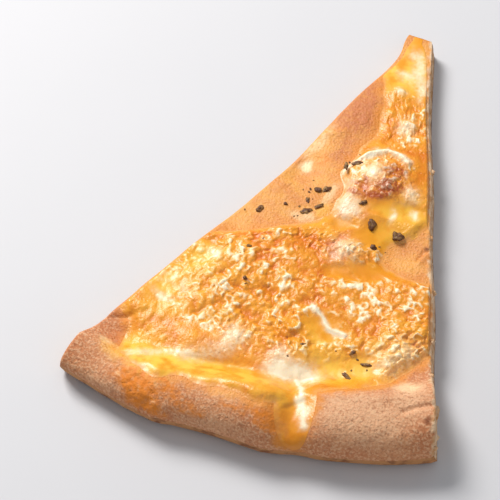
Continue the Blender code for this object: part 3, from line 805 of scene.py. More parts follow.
    def masks(self, s: Array, phi: Array) -> dict[str, Array]:
        """Works out the layer's marks at each place, in plan, with their outlines bent by noise.

        Args:
            s: Path lengths from the apex.
            phi: Angles from the middle line.

        Returns:
            Named masks from 0 to 1, and the relief in metres under "relief".
        """
        flat, marks = flat_points(s, phi), self.marks
        x, y = bent_plan(flat, 0.0009, 0.0032, 51)
        pool = strongest(marks.pools, x, y)
        run = self.dough.outline.drip_fold(s, phi) * ease((s - 0.126) / 0.006)
        pool = np.clip(np.maximum(pool, 0.9 * run), 0.0, 1.0)
        rough = ease((s - marks.rough_start[0]) / marks.rough_start[1])
        rough = rough * (1.0 - ease((s - marks.rough_end[0]) / marks.rough_end[1]))
        rough = np.maximum(rough, strongest(marks.rough_spots, x, y))
        kinds = self.shreds
        rough = np.maximum(rough, kinds.least) * (1.0 - 0.90 * pool)
        bend = np.stack([Grain(0.0016, seed).layers(flat, 2) for seed in (55, 56, 57)], axis=-1)
        bent = flat + 0.0006 * bend * np.array([1.0, 1.0, 0.3])
        clumps = Grain(kinds.clump[0], 64).knobs(bent, 0.80)
        knots = Grain(kinds.knot[0], 65).knobs(bent, 0.72)
        grit = Grain(kinds.grit[0], 66).knobs(bent, 0.75)
        ring = (Grain(kinds.loop[0], 67).cells(bent) - kinds.loop_radius) / kinds.loop_width
        loop = np.exp(-ring ** 2) * ease(0.55 + 1.6 * Grain(0.0020, 68).value(flat))
        curls = self.curls.height(bent[..., 0], bent[..., 1])
        soft = kinds.soft_height * (1.0 - 0.7 * pool) * Grain(0.0040, 62).layers(flat, 2)
        shreds = kinds.clump[1] * clumps + kinds.knot[1] * knots + kinds.grit[1] * grit
        shreds = shreds + kinds.loop[1] * loop + kinds.curl_share * curls
        vigour = kinds.vigour[0] + kinds.vigour[1] * Grain(0.0110, 58).value(flat)
        relief = rough * vigour * (shreds - kinds.sink) + soft - kinds.pool_sink * pool
        # the crest mask pales the tops of the shreds: pale cheese, partly a painted highlight
        high = sum(share * kind for share, kind in zip(kinds.paling, (clumps, knots, grit, loop)))
        drift = kinds.crest_drift * Grain(0.0075, 69).layers(flat, 2)
        crest = np.clip(high + kinds.curl_paling * curls - kinds.crest_from + drift, 0.0, 1.0)
        crest = crest * ease(2.0 * rough)
        bound = {
            "ember": np.maximum(strongest(marks.embers, x, y), 0.8 * self.tongue(s, phi)),
            "toast": strongest(marks.toasts, x, y),
            "cream": summed(marks.creams, x, y),
            "gold": summed(marks.golds, x, y),
            "clump": 1.4 * clumps * vigour - 0.2,
        }
        masks = {name: np.clip(values, 0.0, 1.0) for name, values in bound.items()}
        return {"relief": relief, "crest": crest, "pool": pool, **masks}

    def border_points(self) -> tuple[Array, Array]:
        """Gives the border's points, unrolled flat, first where it is free and then at the cuts.

        Returns:
            The free points and the points at the cuts, as x and y.
        """
        s, phi, used = self.grid()
        corners = np.pad(used, 1).astype(int)
        touching = corners[:-1, :-1] + corners[1:, :-1] + corners[:-1, 1:] + corners[1:, 1:]
        edge = (touching > 0) & (touching < 4)
        gap = s * (self.dough.outline.half_angle - np.abs(phi))
        cut = edge & (gap < 1.15 * max(self.insets))
        flat = np.stack(unrolled(s, phi), axis=-1)
        return flat[edge & ~cut], flat[cut]

    def nearest(self, s: Array, phi: Array, border: Array) -> Array:
        """Gives the distance from each place to the nearest of the border's points, row by row.

        Args:
            s: Path lengths from the apex.
            phi: Angles from the middle line.
            border: Points of the border, as x and y.

        Returns:
            The distances.
        """
        flat = np.stack(unrolled(s, phi), axis=-1)
        rows = [np.linalg.norm(row[:, None, :] - border[None, :, :], axis=-1).min(axis=-1) for row in flat]
        return np.stack(rows)

    def depth(self, s: Array, phi: Array, relief: Array, free: Array, cut: Array) -> Array:
        """Gives the layer's thickness: it fades out at a free border and rounds off at a cut.

        The fade is eased. The rounding is a quarter circle.

        Args:
            s: Path lengths from the apex.
            phi: Angles from the middle line.
            relief: The relief there.
            free: Distances from the free border.
            cut: Distances from the border at the cuts.

        Returns:
            Thicknesses over the dough.
        """
        x, y = unrolled(s, phi)
        tongue = self.tongue(s, phi)
        butter = self.tip_share + (1.0 - self.tip_share) * ease((s - self.tip_run) / self.tip_run)
        full = self.thickness * butter * (1.0 - self.tongue_thinning * tongue)
        full = np.maximum(full + relief + summed(self.marks.lumps, x, y), self.least_depth)
        close = np.clip(1.0 - cut / self.cut_run, 0.0, 1.0)
        run = self.border_run * (1.0 - self.tongue_steepness * tongue)
        shape = ease(free / run) * np.sqrt(1.0 - 0.96 * close * close)
        return self.border + (full - self.border) * shape


def block_faces(ids: Array, used: Array, size: int) -> list[Array]:
    """Covers a grid of points with blocks of cells, each one many-sided face where it is full.

    Args:
        ids: The points' numbers on the grid.
        used: Which cells are covered.
        size: How many cells a block has each way.

    Returns:
        Arrays of faces with the same number of corners.
    """
    quads = []
    large = []
    for i in range(0, used.shape[0], size):
        for j in range(0, used.shape[1], size):
            part = used[i:i + size, j:j + size]
            low, high = i + part.shape[0], j + part.shape[1]
            if part.all() and part.shape == (size, size):
                loop = [*ids[i, j:high], *ids[i:low, high], *ids[low, high:j:-1], *ids[low:i:-1, j]]
                large.append(loop)
            elif part.any():
                rows, cols = np.nonzero(part)
                rows, cols = rows + i, cols + j
                quads.append(np.stack([ids[rows, cols], ids[rows, cols + 1],
                                       ids[rows + 1, cols + 1], ids[rows + 1, cols]], axis=-1))
    return [np.array(large, dtype=int), np.vstack(quads)]


def grid_faces(ids: Array, used: Array | None = None) -> Array:
    """Covers a grid of points with four-sided faces.

    Args:
        ids: The points' numbers on the grid.
        used: Which cells are covered, or None for all.

    Returns:
        The faces' corners.
    """
    faces = np.stack([ids[:-1, :-1], ids[:-1, 1:], ids[1:, 1:], ids[1:, :-1]], axis=-1)
    return faces.reshape(-1, 4) if used is None else faces[used]


def fan_faces(fine: Array, coarse: Array) -> Array:
    """Joins a fine row of points to a coarse one beside it, with one face for each coarse step.

    Args:
        fine: Numbers of the fine row's points.
        coarse: Numbers of the coarse row's points.

    Returns:
        The faces' corners.
    """
    ratio = (len(fine) - 1) // (len(coarse) - 1)
    faces = []
    for k in range(len(coarse) - 1):
        faces.append([*fine[ratio * k:ratio * k + ratio + 1], coarse[k + 1], coarse[k]])
    return np.array(faces, dtype=int)


def make_piece(name: str, points: Array, faces: list[Array], masks: dict[str, Array],
               finish: Material, merge: bool = False) -> Piece:
    """Puts a closed mesh into the scene, shaded smooth, with its masks and its material.

    Args:
        name: The piece's name.
        points: Its points, in the row frame.
        faces: Arrays of faces, each with one number of corners.
        masks: A value for each point under each attribute's name.
        finish: Its material.
        merge: Whether points in the same place are joined.

    Returns:
        The new object, at the origin.
    """
    mesh = bpy.data.meshes.new(name)
    faces = [part for part in faces if len(part)]
    corners = np.concatenate([part.ravel() for part in faces])
    sizes = np.concatenate([np.full(len(part), part.shape[1]) for part in faces])
    mesh.vertices.add(len(points))
    mesh.vertices.foreach_set("co", np.ascontiguousarray(points, dtype=np.float32).ravel())
    mesh.loops.add(len(corners))
    mesh.loops.foreach_set("vertex_index", corners.astype(np.int32))
    mesh.polygons.add(len(sizes))
    mesh.polygons.foreach_set("loop_start", (np.cumsum(sizes) - sizes).astype(np.int32))
    mesh.update(calc_edges=True)
    for mask, values in masks.items():
        layer = mesh.attributes.new(mask, "FLOAT", "POINT")
        layer.data.foreach_set("value", np.asarray(values, dtype=np.float32).ravel())
    bm = bmesh.new()
    bm.from_mesh(mesh)
    if merge:
        bmesh.ops.remove_doubles(bm, verts=bm.verts, dist=1e-7)
    bmesh.ops.recalc_face_normals(bm, faces=bm.faces)
    bm.to_mesh(mesh)
    bm.free()
    mesh.validate()
    mesh.shade_smooth()
    mesh.materials.append(finish)
    piece = bpy.data.objects.new(name, mesh)
    bpy.context.scene.collection.objects.link(piece)
    return piece


def ball_grid(rings: int, around: int) -> Array:
    """Lays rings of points over a ball of radius 1, from pole to pole.

    Args:
        rings: How many rings there are, with both poles.
        around: How many points a ring has.

    Returns:
        Points on a grid of rings, in the last axis.
    """
    tilt = np.linspace(0.0, math.pi, rings)[:, None]
    turn = np.linspace(0.0, 2.0 * math.pi, around, endpoint=False)[None, :]
    parts = np.sin(tilt) * np.cos(turn), np.sin(tilt) * np.sin(turn), np.cos(tilt)
    return np.stack(np.broadcast_arrays(*parts), axis=-1)


def join_balls(balls: list[Array]) -> tuple[Array, list[Array]]:
    """Joins balls of rings, all with the same number of points, into one set of faces.

    Args:
        balls: A grid of points for each ball.

    Returns:
        The points in order, and the faces.
    """
    every = np.stack(balls)
    ids = np.arange(every[..., 0].size).reshape(every.shape[:-1])
    faces = [grid_faces(np.hstack([part, part[:, :1]])) for part in ids]
    return every.reshape(-1, 3), faces


def srgb(red: int, green: int, blue: int) -> Colour:
    """Turns a colour of 0 to 255 into the linear values that a shader takes."""
    parts = [value / 255.0 for value in (red, green, blue)]
    linear = [p / 12.92 if p <= 0.04045 else ((p + 0.055) / 1.055) ** 2.4 for p in parts]
    return (*linear, 1.0)


class Wiring:
    """Adds nodes to one shader tree and joins them."""

    def __init__(self, tree: Tree) -> None:
        """Takes the tree to add to."""
        self.tree = tree

    def node(self, kind: str, inputs: dict[str | int, object] | None = None, **settings: object) -> Node:
        """Adds a node, sets its own settings and feeds its inputs.

        Args:
            kind: The node's type name.
            inputs: Values or other nodes' outputs, by the input's name or number.
            **settings: Its properties by name.

        Returns:
            The new node.
        """
        made = self.tree.nodes.new(kind)
        for name, value in settings.items():
            setattr(made, name, value)
        for name, value in (inputs or {}).items():
            self.feed(made.inputs[name], value)
        return made

    def feed(self, socket: Socket, value: object) -> None:
        """Joins another node's output to a socket, or sets the socket's own value."""
        if isinstance(value, Socket):
            self.tree.links.new(value, socket)
        else:
            socket.default_value = value

    def mask(self, name: str) -> Socket:
        """Reads one of the piece's own masks."""
        return self.node("ShaderNodeAttribute", attribute_name=name).outputs["Fac"]

    def place(self) -> Socket:
        """Gives the place on the piece, in metres."""
        return self.node("ShaderNodeTexCoord").outputs["Object"]

    def blend(self, share: object, low: object, high: object) -> Socket:
        """Mixes two colours.

        Args:
            share: How much of the second, from 0 to 1.
            low: The first colour.
            high: The second colour.

        Returns:
            The mixed colour's socket.
        """
        inputs = {0: share, 6: low, 7: high}
        return self.node("ShaderNodeMix", inputs, data_type="RGBA", clamp_factor=True).outputs[2]

    def sum(self, operation: str, first: object, second: object, clamp: bool = False) -> Socket:
        """Works out a sum, product or other operation on two values.

        Args:
            operation: The operation's name.
            first: The first value.
            second: The second value.
            clamp: Whether the result is kept from 0 to 1.

        Returns:
            The result's socket.
        """
        both = {0: first, 1: second}
        return self.node("ShaderNodeMath", both, operation=operation, use_clamp=clamp).outputs[0]

    def noise(self, given: Node, detail: object) -> Socket:
        """Adds noise at the place and the pitch that an effect is given."""
        inputs = {"Vector": given.outputs["Place"], "Scale": given.outputs["Pitch"], "Detail": detail}
        return self.node("ShaderNodeTexNoise", inputs).outputs["Fac"]

    def span(self, value: object, low: object, high: object, first: float = 0.0,
             last: float = 1.0) -> Socket:
        """Eases from one value to another while a third goes from a low to a high mark.

        Args:
            value: What is read.
            low: The low mark.
            high: The high mark.
            first: The result at the low mark.
            last: The result at the high mark.

        Returns:
            The result's socket.
        """
        inputs = {"Value": value, "From Min": low, "From Max": high, "To Min": first, "To Max": last}
        return self.node("ShaderNodeMapRange", inputs, interpolation_type="SMOOTHSTEP").outputs["Result"]

    def times(self, first: object, second: object) -> Socket:
        """Multiplies two values."""
        return self.sum("MULTIPLY", first, second)

    def group(self, tree: Tree, **inputs: object) -> Node:
        """Places a shared effect and sets its inputs.

        Args:
            tree: The effect's node group.
            **inputs: Values or sockets by input name.

        Returns:
            The group's node.
        """
        return self.node("ShaderNodeGroup", inputs, node_tree=tree)


class Effects:
    """The shared effects: node groups that are built once and placed in several materials."""

    def __init__(self) -> None:
        """Builds the three groups."""
        self.mottle = self.build_mottle()
        self.crumble = self.build_crumble()
        self.stain = self.build_stain()

    def start(self, name: str, inputs: tuple[tuple[str, str, object], ...],
              outputs: tuple[tuple[str, str], ...]) -> tuple[Wiring, Node, Node]:
        """Starts a node group with named sockets.

        Args:
            name: The group's name.
            inputs: Each input's name, socket type and default value.
            outputs: Each output's name and socket type.

        Returns:
            The group's wiring, its input node and its output node.
        """
        tree = bpy.data.node_groups.new(name, "ShaderNodeTree")
        for label, kind, default in inputs:
            socket = tree.interface.new_socket(name=label, in_out="INPUT", socket_type=kind)
            if default is not None:
                socket.default_value = default
        for label, kind in outputs:
            tree.interface.new_socket(name=label, in_out="OUTPUT", socket_type=kind)
        wiring = Wiring(tree)
        return wiring, wiring.node("NodeGroupInput"), wiring.node("NodeGroupOutput")

    def build_mottle(self) -> Tree:
        """Builds cloudy patches: noise of a given size, stretched between a low and a high mark.

        Returns:
            The node group, which puts out a mask.
        """
        wiring, given, made = self.start(
            "mottle",
            (("Place", "NodeSocketVector", None), ("Pitch", "NodeSocketFloat", 200.0),
             ("Detail", "NodeSocketFloat", 3.0), ("Low", "NodeSocketFloat", 0.35),
             ("High", "NodeSocketFloat", 0.65)),
            (("Mask", "NodeSocketFloat"),))
        noise = wiring.noise(given, given.outputs["Detail"])
        spread = wiring.span(noise, given.outputs["Low"], given.outputs["High"])
        wiring.feed(made.inputs["Mask"], spread)
        return wiring.tree

    def build_crumble(self) -> Tree:
        """Builds fine relief: layered noise, less the small pits of a cell pattern.

        Returns:
            The node group, which puts out a height.
        """
        wiring, given, made = self.start(
            "crumble",
            (("Place", "NodeSocketVector", None), ("Pitch", "NodeSocketFloat", 1500.0),
             ("Pits", "NodeSocketFloat", 0.5)),
            (("Height", "NodeSocketFloat"),))
        cell = wiring.node("ShaderNodeTexVoronoi", {
            "Vector": given.outputs["Place"], "Scale": wiring.times(given.outputs["Pitch"], 0.45)})
        hole = wiring.span(cell.outputs["Distance"], 0.10, 0.34, 1.0, 0.0)
        pit = wiring.times(hole, given.outputs["Pits"])
        wiring.feed(made.inputs["Height"], wiring.sum("SUBTRACT", wiring.noise(given, 3.0), pit))
        return wiring.tree

    def build_stain(self) -> Tree:
        """Builds a stain: a second colour laid on by a mask, whose edge noise frays.

        Returns:
            The node group, which puts out a colour.
        """
        wiring, given, made = self.start(
            "stain",
            (("Base", "NodeSocketColor", (1.0, 1.0, 1.0, 1.0)),
             ("Stain", "NodeSocketColor", (0.5, 0.5, 0.5, 1.0)),
             ("Mask", "NodeSocketFloat", 0.0), ("Place", "NodeSocketVector", None),
             ("Pitch", "NodeSocketFloat", 600.0), ("Fray", "NodeSocketFloat", 0.4)),
            (("Color", "NodeSocketColor"),))
        centred = wiring.sum("SUBTRACT", wiring.noise(given, 3.0), 0.5)
        edge = wiring.times(wiring.times(centred, given.outputs["Fray"]), 2.0)
        present = wiring.sum("MULTIPLY", given.outputs["Mask"], 4.0, clamp=True)
        frayed = wiring.sum("ADD", given.outputs["Mask"], wiring.times(edge, present), clamp=True)
        stained = wiring.blend(frayed, given.outputs["Base"], given.outputs["Stain"])
        wiring.feed(made.inputs["Color"], stained)
        return wiring.tree


class Sheen(Enum):
    """How shiny a finish is where nothing else is said: its roughness."""

    MATT = 0.82
    SATIN = 0.55
    GREASY = 0.38
    WET = 0.36


class Surface:
    """A material while it is built: its wiring, its shader and the shared effects."""

    def __init__(self, name: str, effects: Effects) -> None:
        """Starts the material."""
        self.material = bpy.data.materials.new(name)
        self.material.use_nodes = True
        self.wiring = Wiring(self.material.node_tree)
        self.shader = self.material.node_tree.nodes["Principled BSDF"]
        self.effects = effects
        self.place = self.wiring.place()

    def settings(self, **values: object) -> None:
        """Feeds the shader's inputs, whose names have an underscore for each space."""
        for name, value in values.items():
            self.wiring.feed(self.shader.inputs[name.replace("_", " ")], value)

    def clouds(self, pitch: float, low: float, high: float, detail: float = 3.0) -> Socket:
        """Lays cloudy patches over the piece.

        Args:
            pitch: How fine they are.
            low: The noise below which there are none.
            high: The noise above which they are full.
            detail: How many finer layers the noise has.

        Returns:
            The patches' mask.
        """
        return self.wiring.group(self.effects.mottle, Place=self.place, Pitch=pitch, Detail=detail,
                                 Low=low, High=high).outputs["Mask"]

    def stains(self, colour: object, *stains: tuple[str, Colour, float, float]) -> Socket:
        """Lays stains over a colour, one after the other.

        Args:
            colour: The colour below.
            *stains: Each stain's mask, colour, pitch and fray.

        Returns:
            The stained colour.
        """
        for mask, tint, pitch, fray in stains:
            laid = self.wiring.group(self.effects.stain, Base=colour, Stain=tint, Place=self.place,
                                     Mask=self.wiring.mask(mask), Pitch=pitch, Fray=fray)
            colour = laid.outputs["Color"]
        return colour

    def fade(self, share: object, low: Sheen, high: Sheen) -> None:
        """Lets the roughness go from one sheen to another.

        Args:
            share: How far it goes, from 0 to 1.
            low: The sheen at 0.
            high: The sheen at 1.
        """
        inputs = {"Value": share, "To Min": low.value, "To Max": high.value}
        self.settings(Roughness=self.wiring.node("ShaderNodeMapRange", inputs).outputs["Result"])

    def grain(self, pitch: float, pits: float, strength: float, distance: float,
              share: object = 1.0) -> None:
        """Bumps the surface with fine relief.

        Args:
            pitch: How fine it is.
            pits: How deep its pits are.
            strength: The bump's strength.
            distance: The relief's height in metres.
            share: How much of it there is, from 0 to 1.
        """
        fine = self.wiring.group(self.effects.crumble, Place=self.place, Pitch=pitch, Pits=pits)
        inputs = {"Strength": strength, "Distance": distance,
                  "Height": self.wiring.times(fine.outputs["Height"], share)}
        self.settings(Normal=self.wiring.node("ShaderNodeBump", inputs).outputs["Normal"])


@dataclass(frozen=True)
class CrustFinish:
    """Baked dough: buttery and golden inside, pinkish tan on the rim, open crumb on the cuts in a tone
    darkened with painted shade, darker still as painted shade in its pores.
    """

    golden: Colour = srgb(232, 160, 72)
    amber: Colour = srgb(220, 140, 66)
    fringe: Colour = srgb(222, 138, 50)
    rim: Colour = srgb(208, 140, 94)
    rim_dark: Colour = srgb(194, 120, 76)
    rim_pale: Colour = srgb(236, 188, 146)
    rim_toasted: Colour = srgb(164, 96, 58)
    # a pinkish bake, also laid as painted shade in the dent and the left crease
    blush_and_shade: Colour = srgb(200, 118, 66)
    cream: Colour = srgb(252, 228, 180)
    toast: Colour = srgb(226, 130, 36)
    gold: Colour = srgb(244, 184, 66)
    # dark brown laid as painted shade in the creases by the right cut
    brown: Colour = srgb(128, 70, 38)
    # crumb tones darkened with painted shade for cuts that face away from the light; the pore tone is
    # painted shade
    crumb: Colour = srgb(228, 192, 154)
    shaded_crumb_golden: Colour = srgb(202, 150, 100)
    crumb_pore_shade: Colour = srgb(136, 84, 50)
    under: Colour = srgb(196, 136, 84)
    under_dark: Colour = srgb(140, 84, 48)

    def build(self, effects: Effects) -> Material:
        """Builds the material from the bread's masks.

        Args:
            effects: The shared node groups.

        Returns:
            The finished material.
        """
        surface = Surface("baked_crust_finish", effects)
        wiring, clouds = surface.wiring, surface.clouds
        butter = wiring.mask("butter")
        inner = wiring.blend(clouds(160.0, 0.36, 0.66), self.golden, self.amber)
        outer = wiring.blend(clouds(90.0, 0.30, 0.72, 2.0), self.rim, self.rim_dark)
        outer = wiring.blend(wiring.times(wiring.mask("flour"), 0.6), outer, self.rim_pale)
        colour = wiring.blend(butter, outer, inner)
        bare = wiring.sum("SUBTRACT", 0.80, wiring.times(butter, 0.60))
        powder = wiring.times(clouds(1500.0, 0.44, 0.64, 2.0), bare)
        colour = wiring.blend(wiring.times(powder, 0.75), colour, self.rim_pale)
        pepper = wiring.times(clouds(1250.0, 0.52, 0.68, 2.0), bare)
        colour = wiring.blend(wiring.times(pepper, 0.65), colour, self.rim_toasted)
        # the blush stain also lays painted shade in the dent and the left crease; the brown stain is
        # painted shade in the creases by the right cut
        colour = surface.stains(
            colour, ("blush_and_shade", self.blush_and_shade, 900.0, 0.9), ("cream", self.cream, 700.0, 0.5),
            ("gold", self.gold, 500.0, 0.4), ("fringe", self.fringe, 700.0, 0.5),
            ("toast", self.toast, 700.0, 1.0), ("brown", self.brown, 900.0, 0.8))
        # open crumb: the crumb's tone with painted shade, and painted shade in the pores
        open_crumb = wiring.blend(clouds(380.0, 0.42, 0.66), self.crumb, self.shaded_crumb_golden)
        open_crumb = wiring.blend(wiring.mask("pore"), open_crumb, self.crumb_pore_shade)
        colour = wiring.blend(wiring.mask("crumb"), colour, open_crumb)
        base = wiring.blend(clouds(260.0, 0.46, 0.66, 5.0), self.under, self.under_dark)
        surface.settings(Base_Color=wiring.blend(wiring.mask("under"), colour, base),
                         Subsurface_Weight=0.05, Subsurface_Radius=(1.0, 0.5, 0.25),
                         Subsurface_Scale=0.0010)
        surface.fade(wiring.sum("MAXIMUM", butter, wiring.mask("gold")), Sheen.MATT, Sheen.SATIN)
        surface.grain(pitch=1500.0, pits=0.30, strength=0.85, distance=0.00036)
        return surface.material


@dataclass(frozen=True)
class CheeseFinish:
    """Melted cheese in garlic butter: orange hollows, pale crests that also carry a painted highlight,
    glossy golden pools.
    """

    hollow: Colour = srgb(213, 108, 8)
    body: Colour = srgb(243, 164, 44)
    # near-white crest: pale cheese, and a painted highlight where it is whitest
    crest: Colour = srgb(255, 237, 202)
    pool: Colour = srgb(234, 152, 20)
    gold: Colour = srgb(249, 200, 74)
    cream: Colour = srgb(255, 241, 210)
    ember: Colour = srgb(220, 126, 12)
    toast: Colour = srgb(172, 78, 24)
    fringe: Colour = srgb(228, 142, 40)
    soaked: Colour = srgb(232, 160, 84)

    def build(self, effects: Effects) -> Material:
        """Builds the material from the layer's masks.

        Args:
            effects: The shared node groups.

        Returns:
            The finished material.
        """
        surface = Surface("melted_cheese_finish", effects)
        wiring, clouds = surface.wiring, surface.clouds
        crest, pool, gold = wiring.mask("crest"), wiring.mask("pool"), wiring.mask("gold")
        raised = wiring.sum("ADD", wiring.times(clouds(330.0, 0.34, 0.68), 0.45),
                            wiring.times(wiring.mask("clump"), 0.55))
        low = wiring.blend(raised, self.hollow, self.body)
        low = surface.stains(low, ("fringe", self.fringe, 800.0, 0.5), ("ember", self.ember, 900.0, 0.7))
        # the colour goes from the hollow's deep orange up to near white with the crest mask: pale cheese,
        # partly a painted highlight
        colour = wiring.blend(wiring.sum("MULTIPLY", crest, 1.5, clamp=True), low, self.body)
        colour = wiring.blend(wiring.span(crest, 0.38, 0.98), colour, self.crest)
        swirls = wiring.times(gold, clouds(240.0, 0.30, 0.60))
        golden = wiring.blend(swirls, self.pool, self.gold)
        colour = wiring.blend(wiring.times(gold, 0.5), colour, self.gold)
        clear = wiring.sum("SUBTRACT", 1.0, wiring.times(wiring.mask("ember"), 0.8))
        colour = wiring.blend(wiring.times(pool, clear), colour, golden)
        colour = surface.stains(
            colour, ("cream", self.cream, 900.0, 0.45), ("toast", self.toast, 1200.0, 0.9))
        surface.settings(Base_Color=wiring.blend(wiring.mask("thin"), colour, self.soaked),
                         Coat_Weight=0.07, Coat_Roughness=0.16, Subsurface_Weight=0.06,
                         Subsurface_Radius=(1.0, 0.55, 0.2), Subsurface_Scale=0.0010)
        surface.fade(pool, Sheen.GREASY, Sheen.WET)
        surface.grain(pitch=1400.0, pits=0.45, strength=0.65, distance=0.00028,
                      share=wiring.sum("SUBTRACT", 1.0, pool))
        return surface.material


@dataclass(frozen=True)
class HerbFinish:
    """Dried herb flakes, baked dark brown with olive lights."""

    dark: Colour = srgb(92, 52, 26)
    olive: Colour = srgb(150, 112, 56)

    def build(self, effects: Effects) -> Material:
        """Builds the material.

        Args:
            effects: The shared node groups.

        Returns:
            The finished material.
        """
        surface = Surface("herb_finish", effects)
        wiring = surface.wiring
        leafy = wiring.sum("ADD", wiring.mask("leafy"), 0.3, clamp=True)
        share = wiring.times(surface.clouds(900.0, 0.42, 0.62), leafy)
        surface.settings(Base_Color=wiring.blend(share, self.dark, self.olive), Roughness=Sheen.SATIN.value)
        surface.grain(pitch=2600.0, pits=0.2, strength=0.5, distance=0.00015)
        return surface.material


@dataclass(frozen=True)
class FloorFinish:
    """A plain pale table top."""

    tone: Colour = srgb(208, 207, 210)
    dim: Colour = srgb(188, 187, 190)
    cloudiness: float = 0.04
    roughness: float = 0.6

    def build(self, effects: Effects) -> Material:
        """Builds the material.

        Args:
            effects: The shared node groups.

        Returns:
            The finished material.
        """
        surface = Surface("table_finish", effects)
        share = surface.wiring.times(surface.clouds(40.0, 0.2, 0.8), self.cloudiness)
        colour = surface.wiring.blend(share, self.tone, self.dim)
        surface.settings(Base_Color=colour, Roughness=self.roughness)
        return surface.material


@dataclass(frozen=True)
class BreadMarks:
    """Where the bread's bare top is floury, buttery, blushed, pale or toasted, and where shade is painted
    into its dent and its creases.
    """

    flour: tuple[Patch, ...] = (
        Patch(0.1330, 12.0, 0.0080, 0.0130), Patch(0.1260, 17.5, 0.0070, 0.0060),
        Patch(0.1360, -2.0, 0.0030, 0.0070, 0.5), Patch(0.1470, -3.0, 0.0040, 0.0110, 0.5),
        Patch(0.1500, -16.0, 0.0030, 0.0060, 0.5))
    gold: tuple[Patch, ...] = (
        Patch(0.1395, -16.4, 0.0034, 0.0046, 0.6), Patch(0.1408, -12.8, 0.0034, 0.0065, 0.8),
        Patch(0.0700, -5.0, 0.0030, 0.0030, 0.5))
    # a pinkish bake near the tip; the last two patches, in the left crease and the dent, are painted shade
    blush_and_shade: tuple[Patch, ...] = (
        Patch(0.0350, -12.5, 0.0090, 0.0055), Patch(0.0270, -17.5, 0.0060, 0.0040, 0.8),
        Patch(0.0400, -7.0, 0.0040, 0.0040, 0.6), Patch(0.0500, -9.5, 0.0060, 0.0030, 0.6),
        Patch(0.1280, -19.5, 0.0030, 0.0050, 0.4), Patch(0.1345, -17.6, 0.0045, 0.0050, 0.55))
    cream: tuple[Patch, ...] = (
        Patch(0.0592, -15.8, 0.0024, 0.0020), Patch(0.0640, -5.2, 0.0040, 0.0018, 0.5),
        Patch(0.0740, -8.0, 0.0016, 0.0040, 0.5), Patch(0.0500, -18.5, 0.0070, 0.0016, 0.4),
        Patch(0.1385, -17.4, 0.0012, 0.0030, 0.5), Patch(0.1432, -14.0, 0.0007, 0.0012, 0.9),
        Patch(0.1462, -11.6, 0.0008, 0.0010), Patch(0.1482, -12.4, 0.0007, 0.0008, 0.9),
        Patch(0.1470, -10.2, 0.0006, 0.0010, 0.9), Patch(0.1446, -12.8, 0.0006, 0.0008),
        Patch(0.1450, -15.0, 0.0006, 0.0008, 0.8), Patch(0.1500, -11.4, 0.0007, 0.0006, 0.9),
        Patch(0.1436, -10.6, 0.0006, 0.0008, 0.7), Patch(0.1210, 17.6, 0.0030, 0.0040, 0.5))
    toast: tuple[Patch, ...] = (
        Patch(0.1450, -12.5, 0.0036, 0.0070), Patch(0.1485, -11.0, 0.0034, 0.0060, 0.95),
        Patch(0.1425, -9.8, 0.0020, 0.0060, 0.7), Patch(0.0545, -12.8, 0.0028, 0.0020, 0.45),
        Patch(0.1440, -6.5, 0.0020, 0.0050, 0.5), Patch(0.1250, -19.2, 0.0040, 0.0040, 0.5),
        Patch(0.1400, -1.0, 0.0016, 0.0060, 0.35), Patch(0.1395, 2.0, 0.0030, 0.0040, 0.75))
    # painted shade in the creases by the right cut
    brown: tuple[Patch, ...] = (
        Patch(0.1320, 19.6, 0.0012, 0.0010, 0.9), Patch(0.0752, 20.0, 0.0006, 0.0014, 0.6),
        Patch(0.1345, 20.2, 0.0010, 0.0006, 0.5))


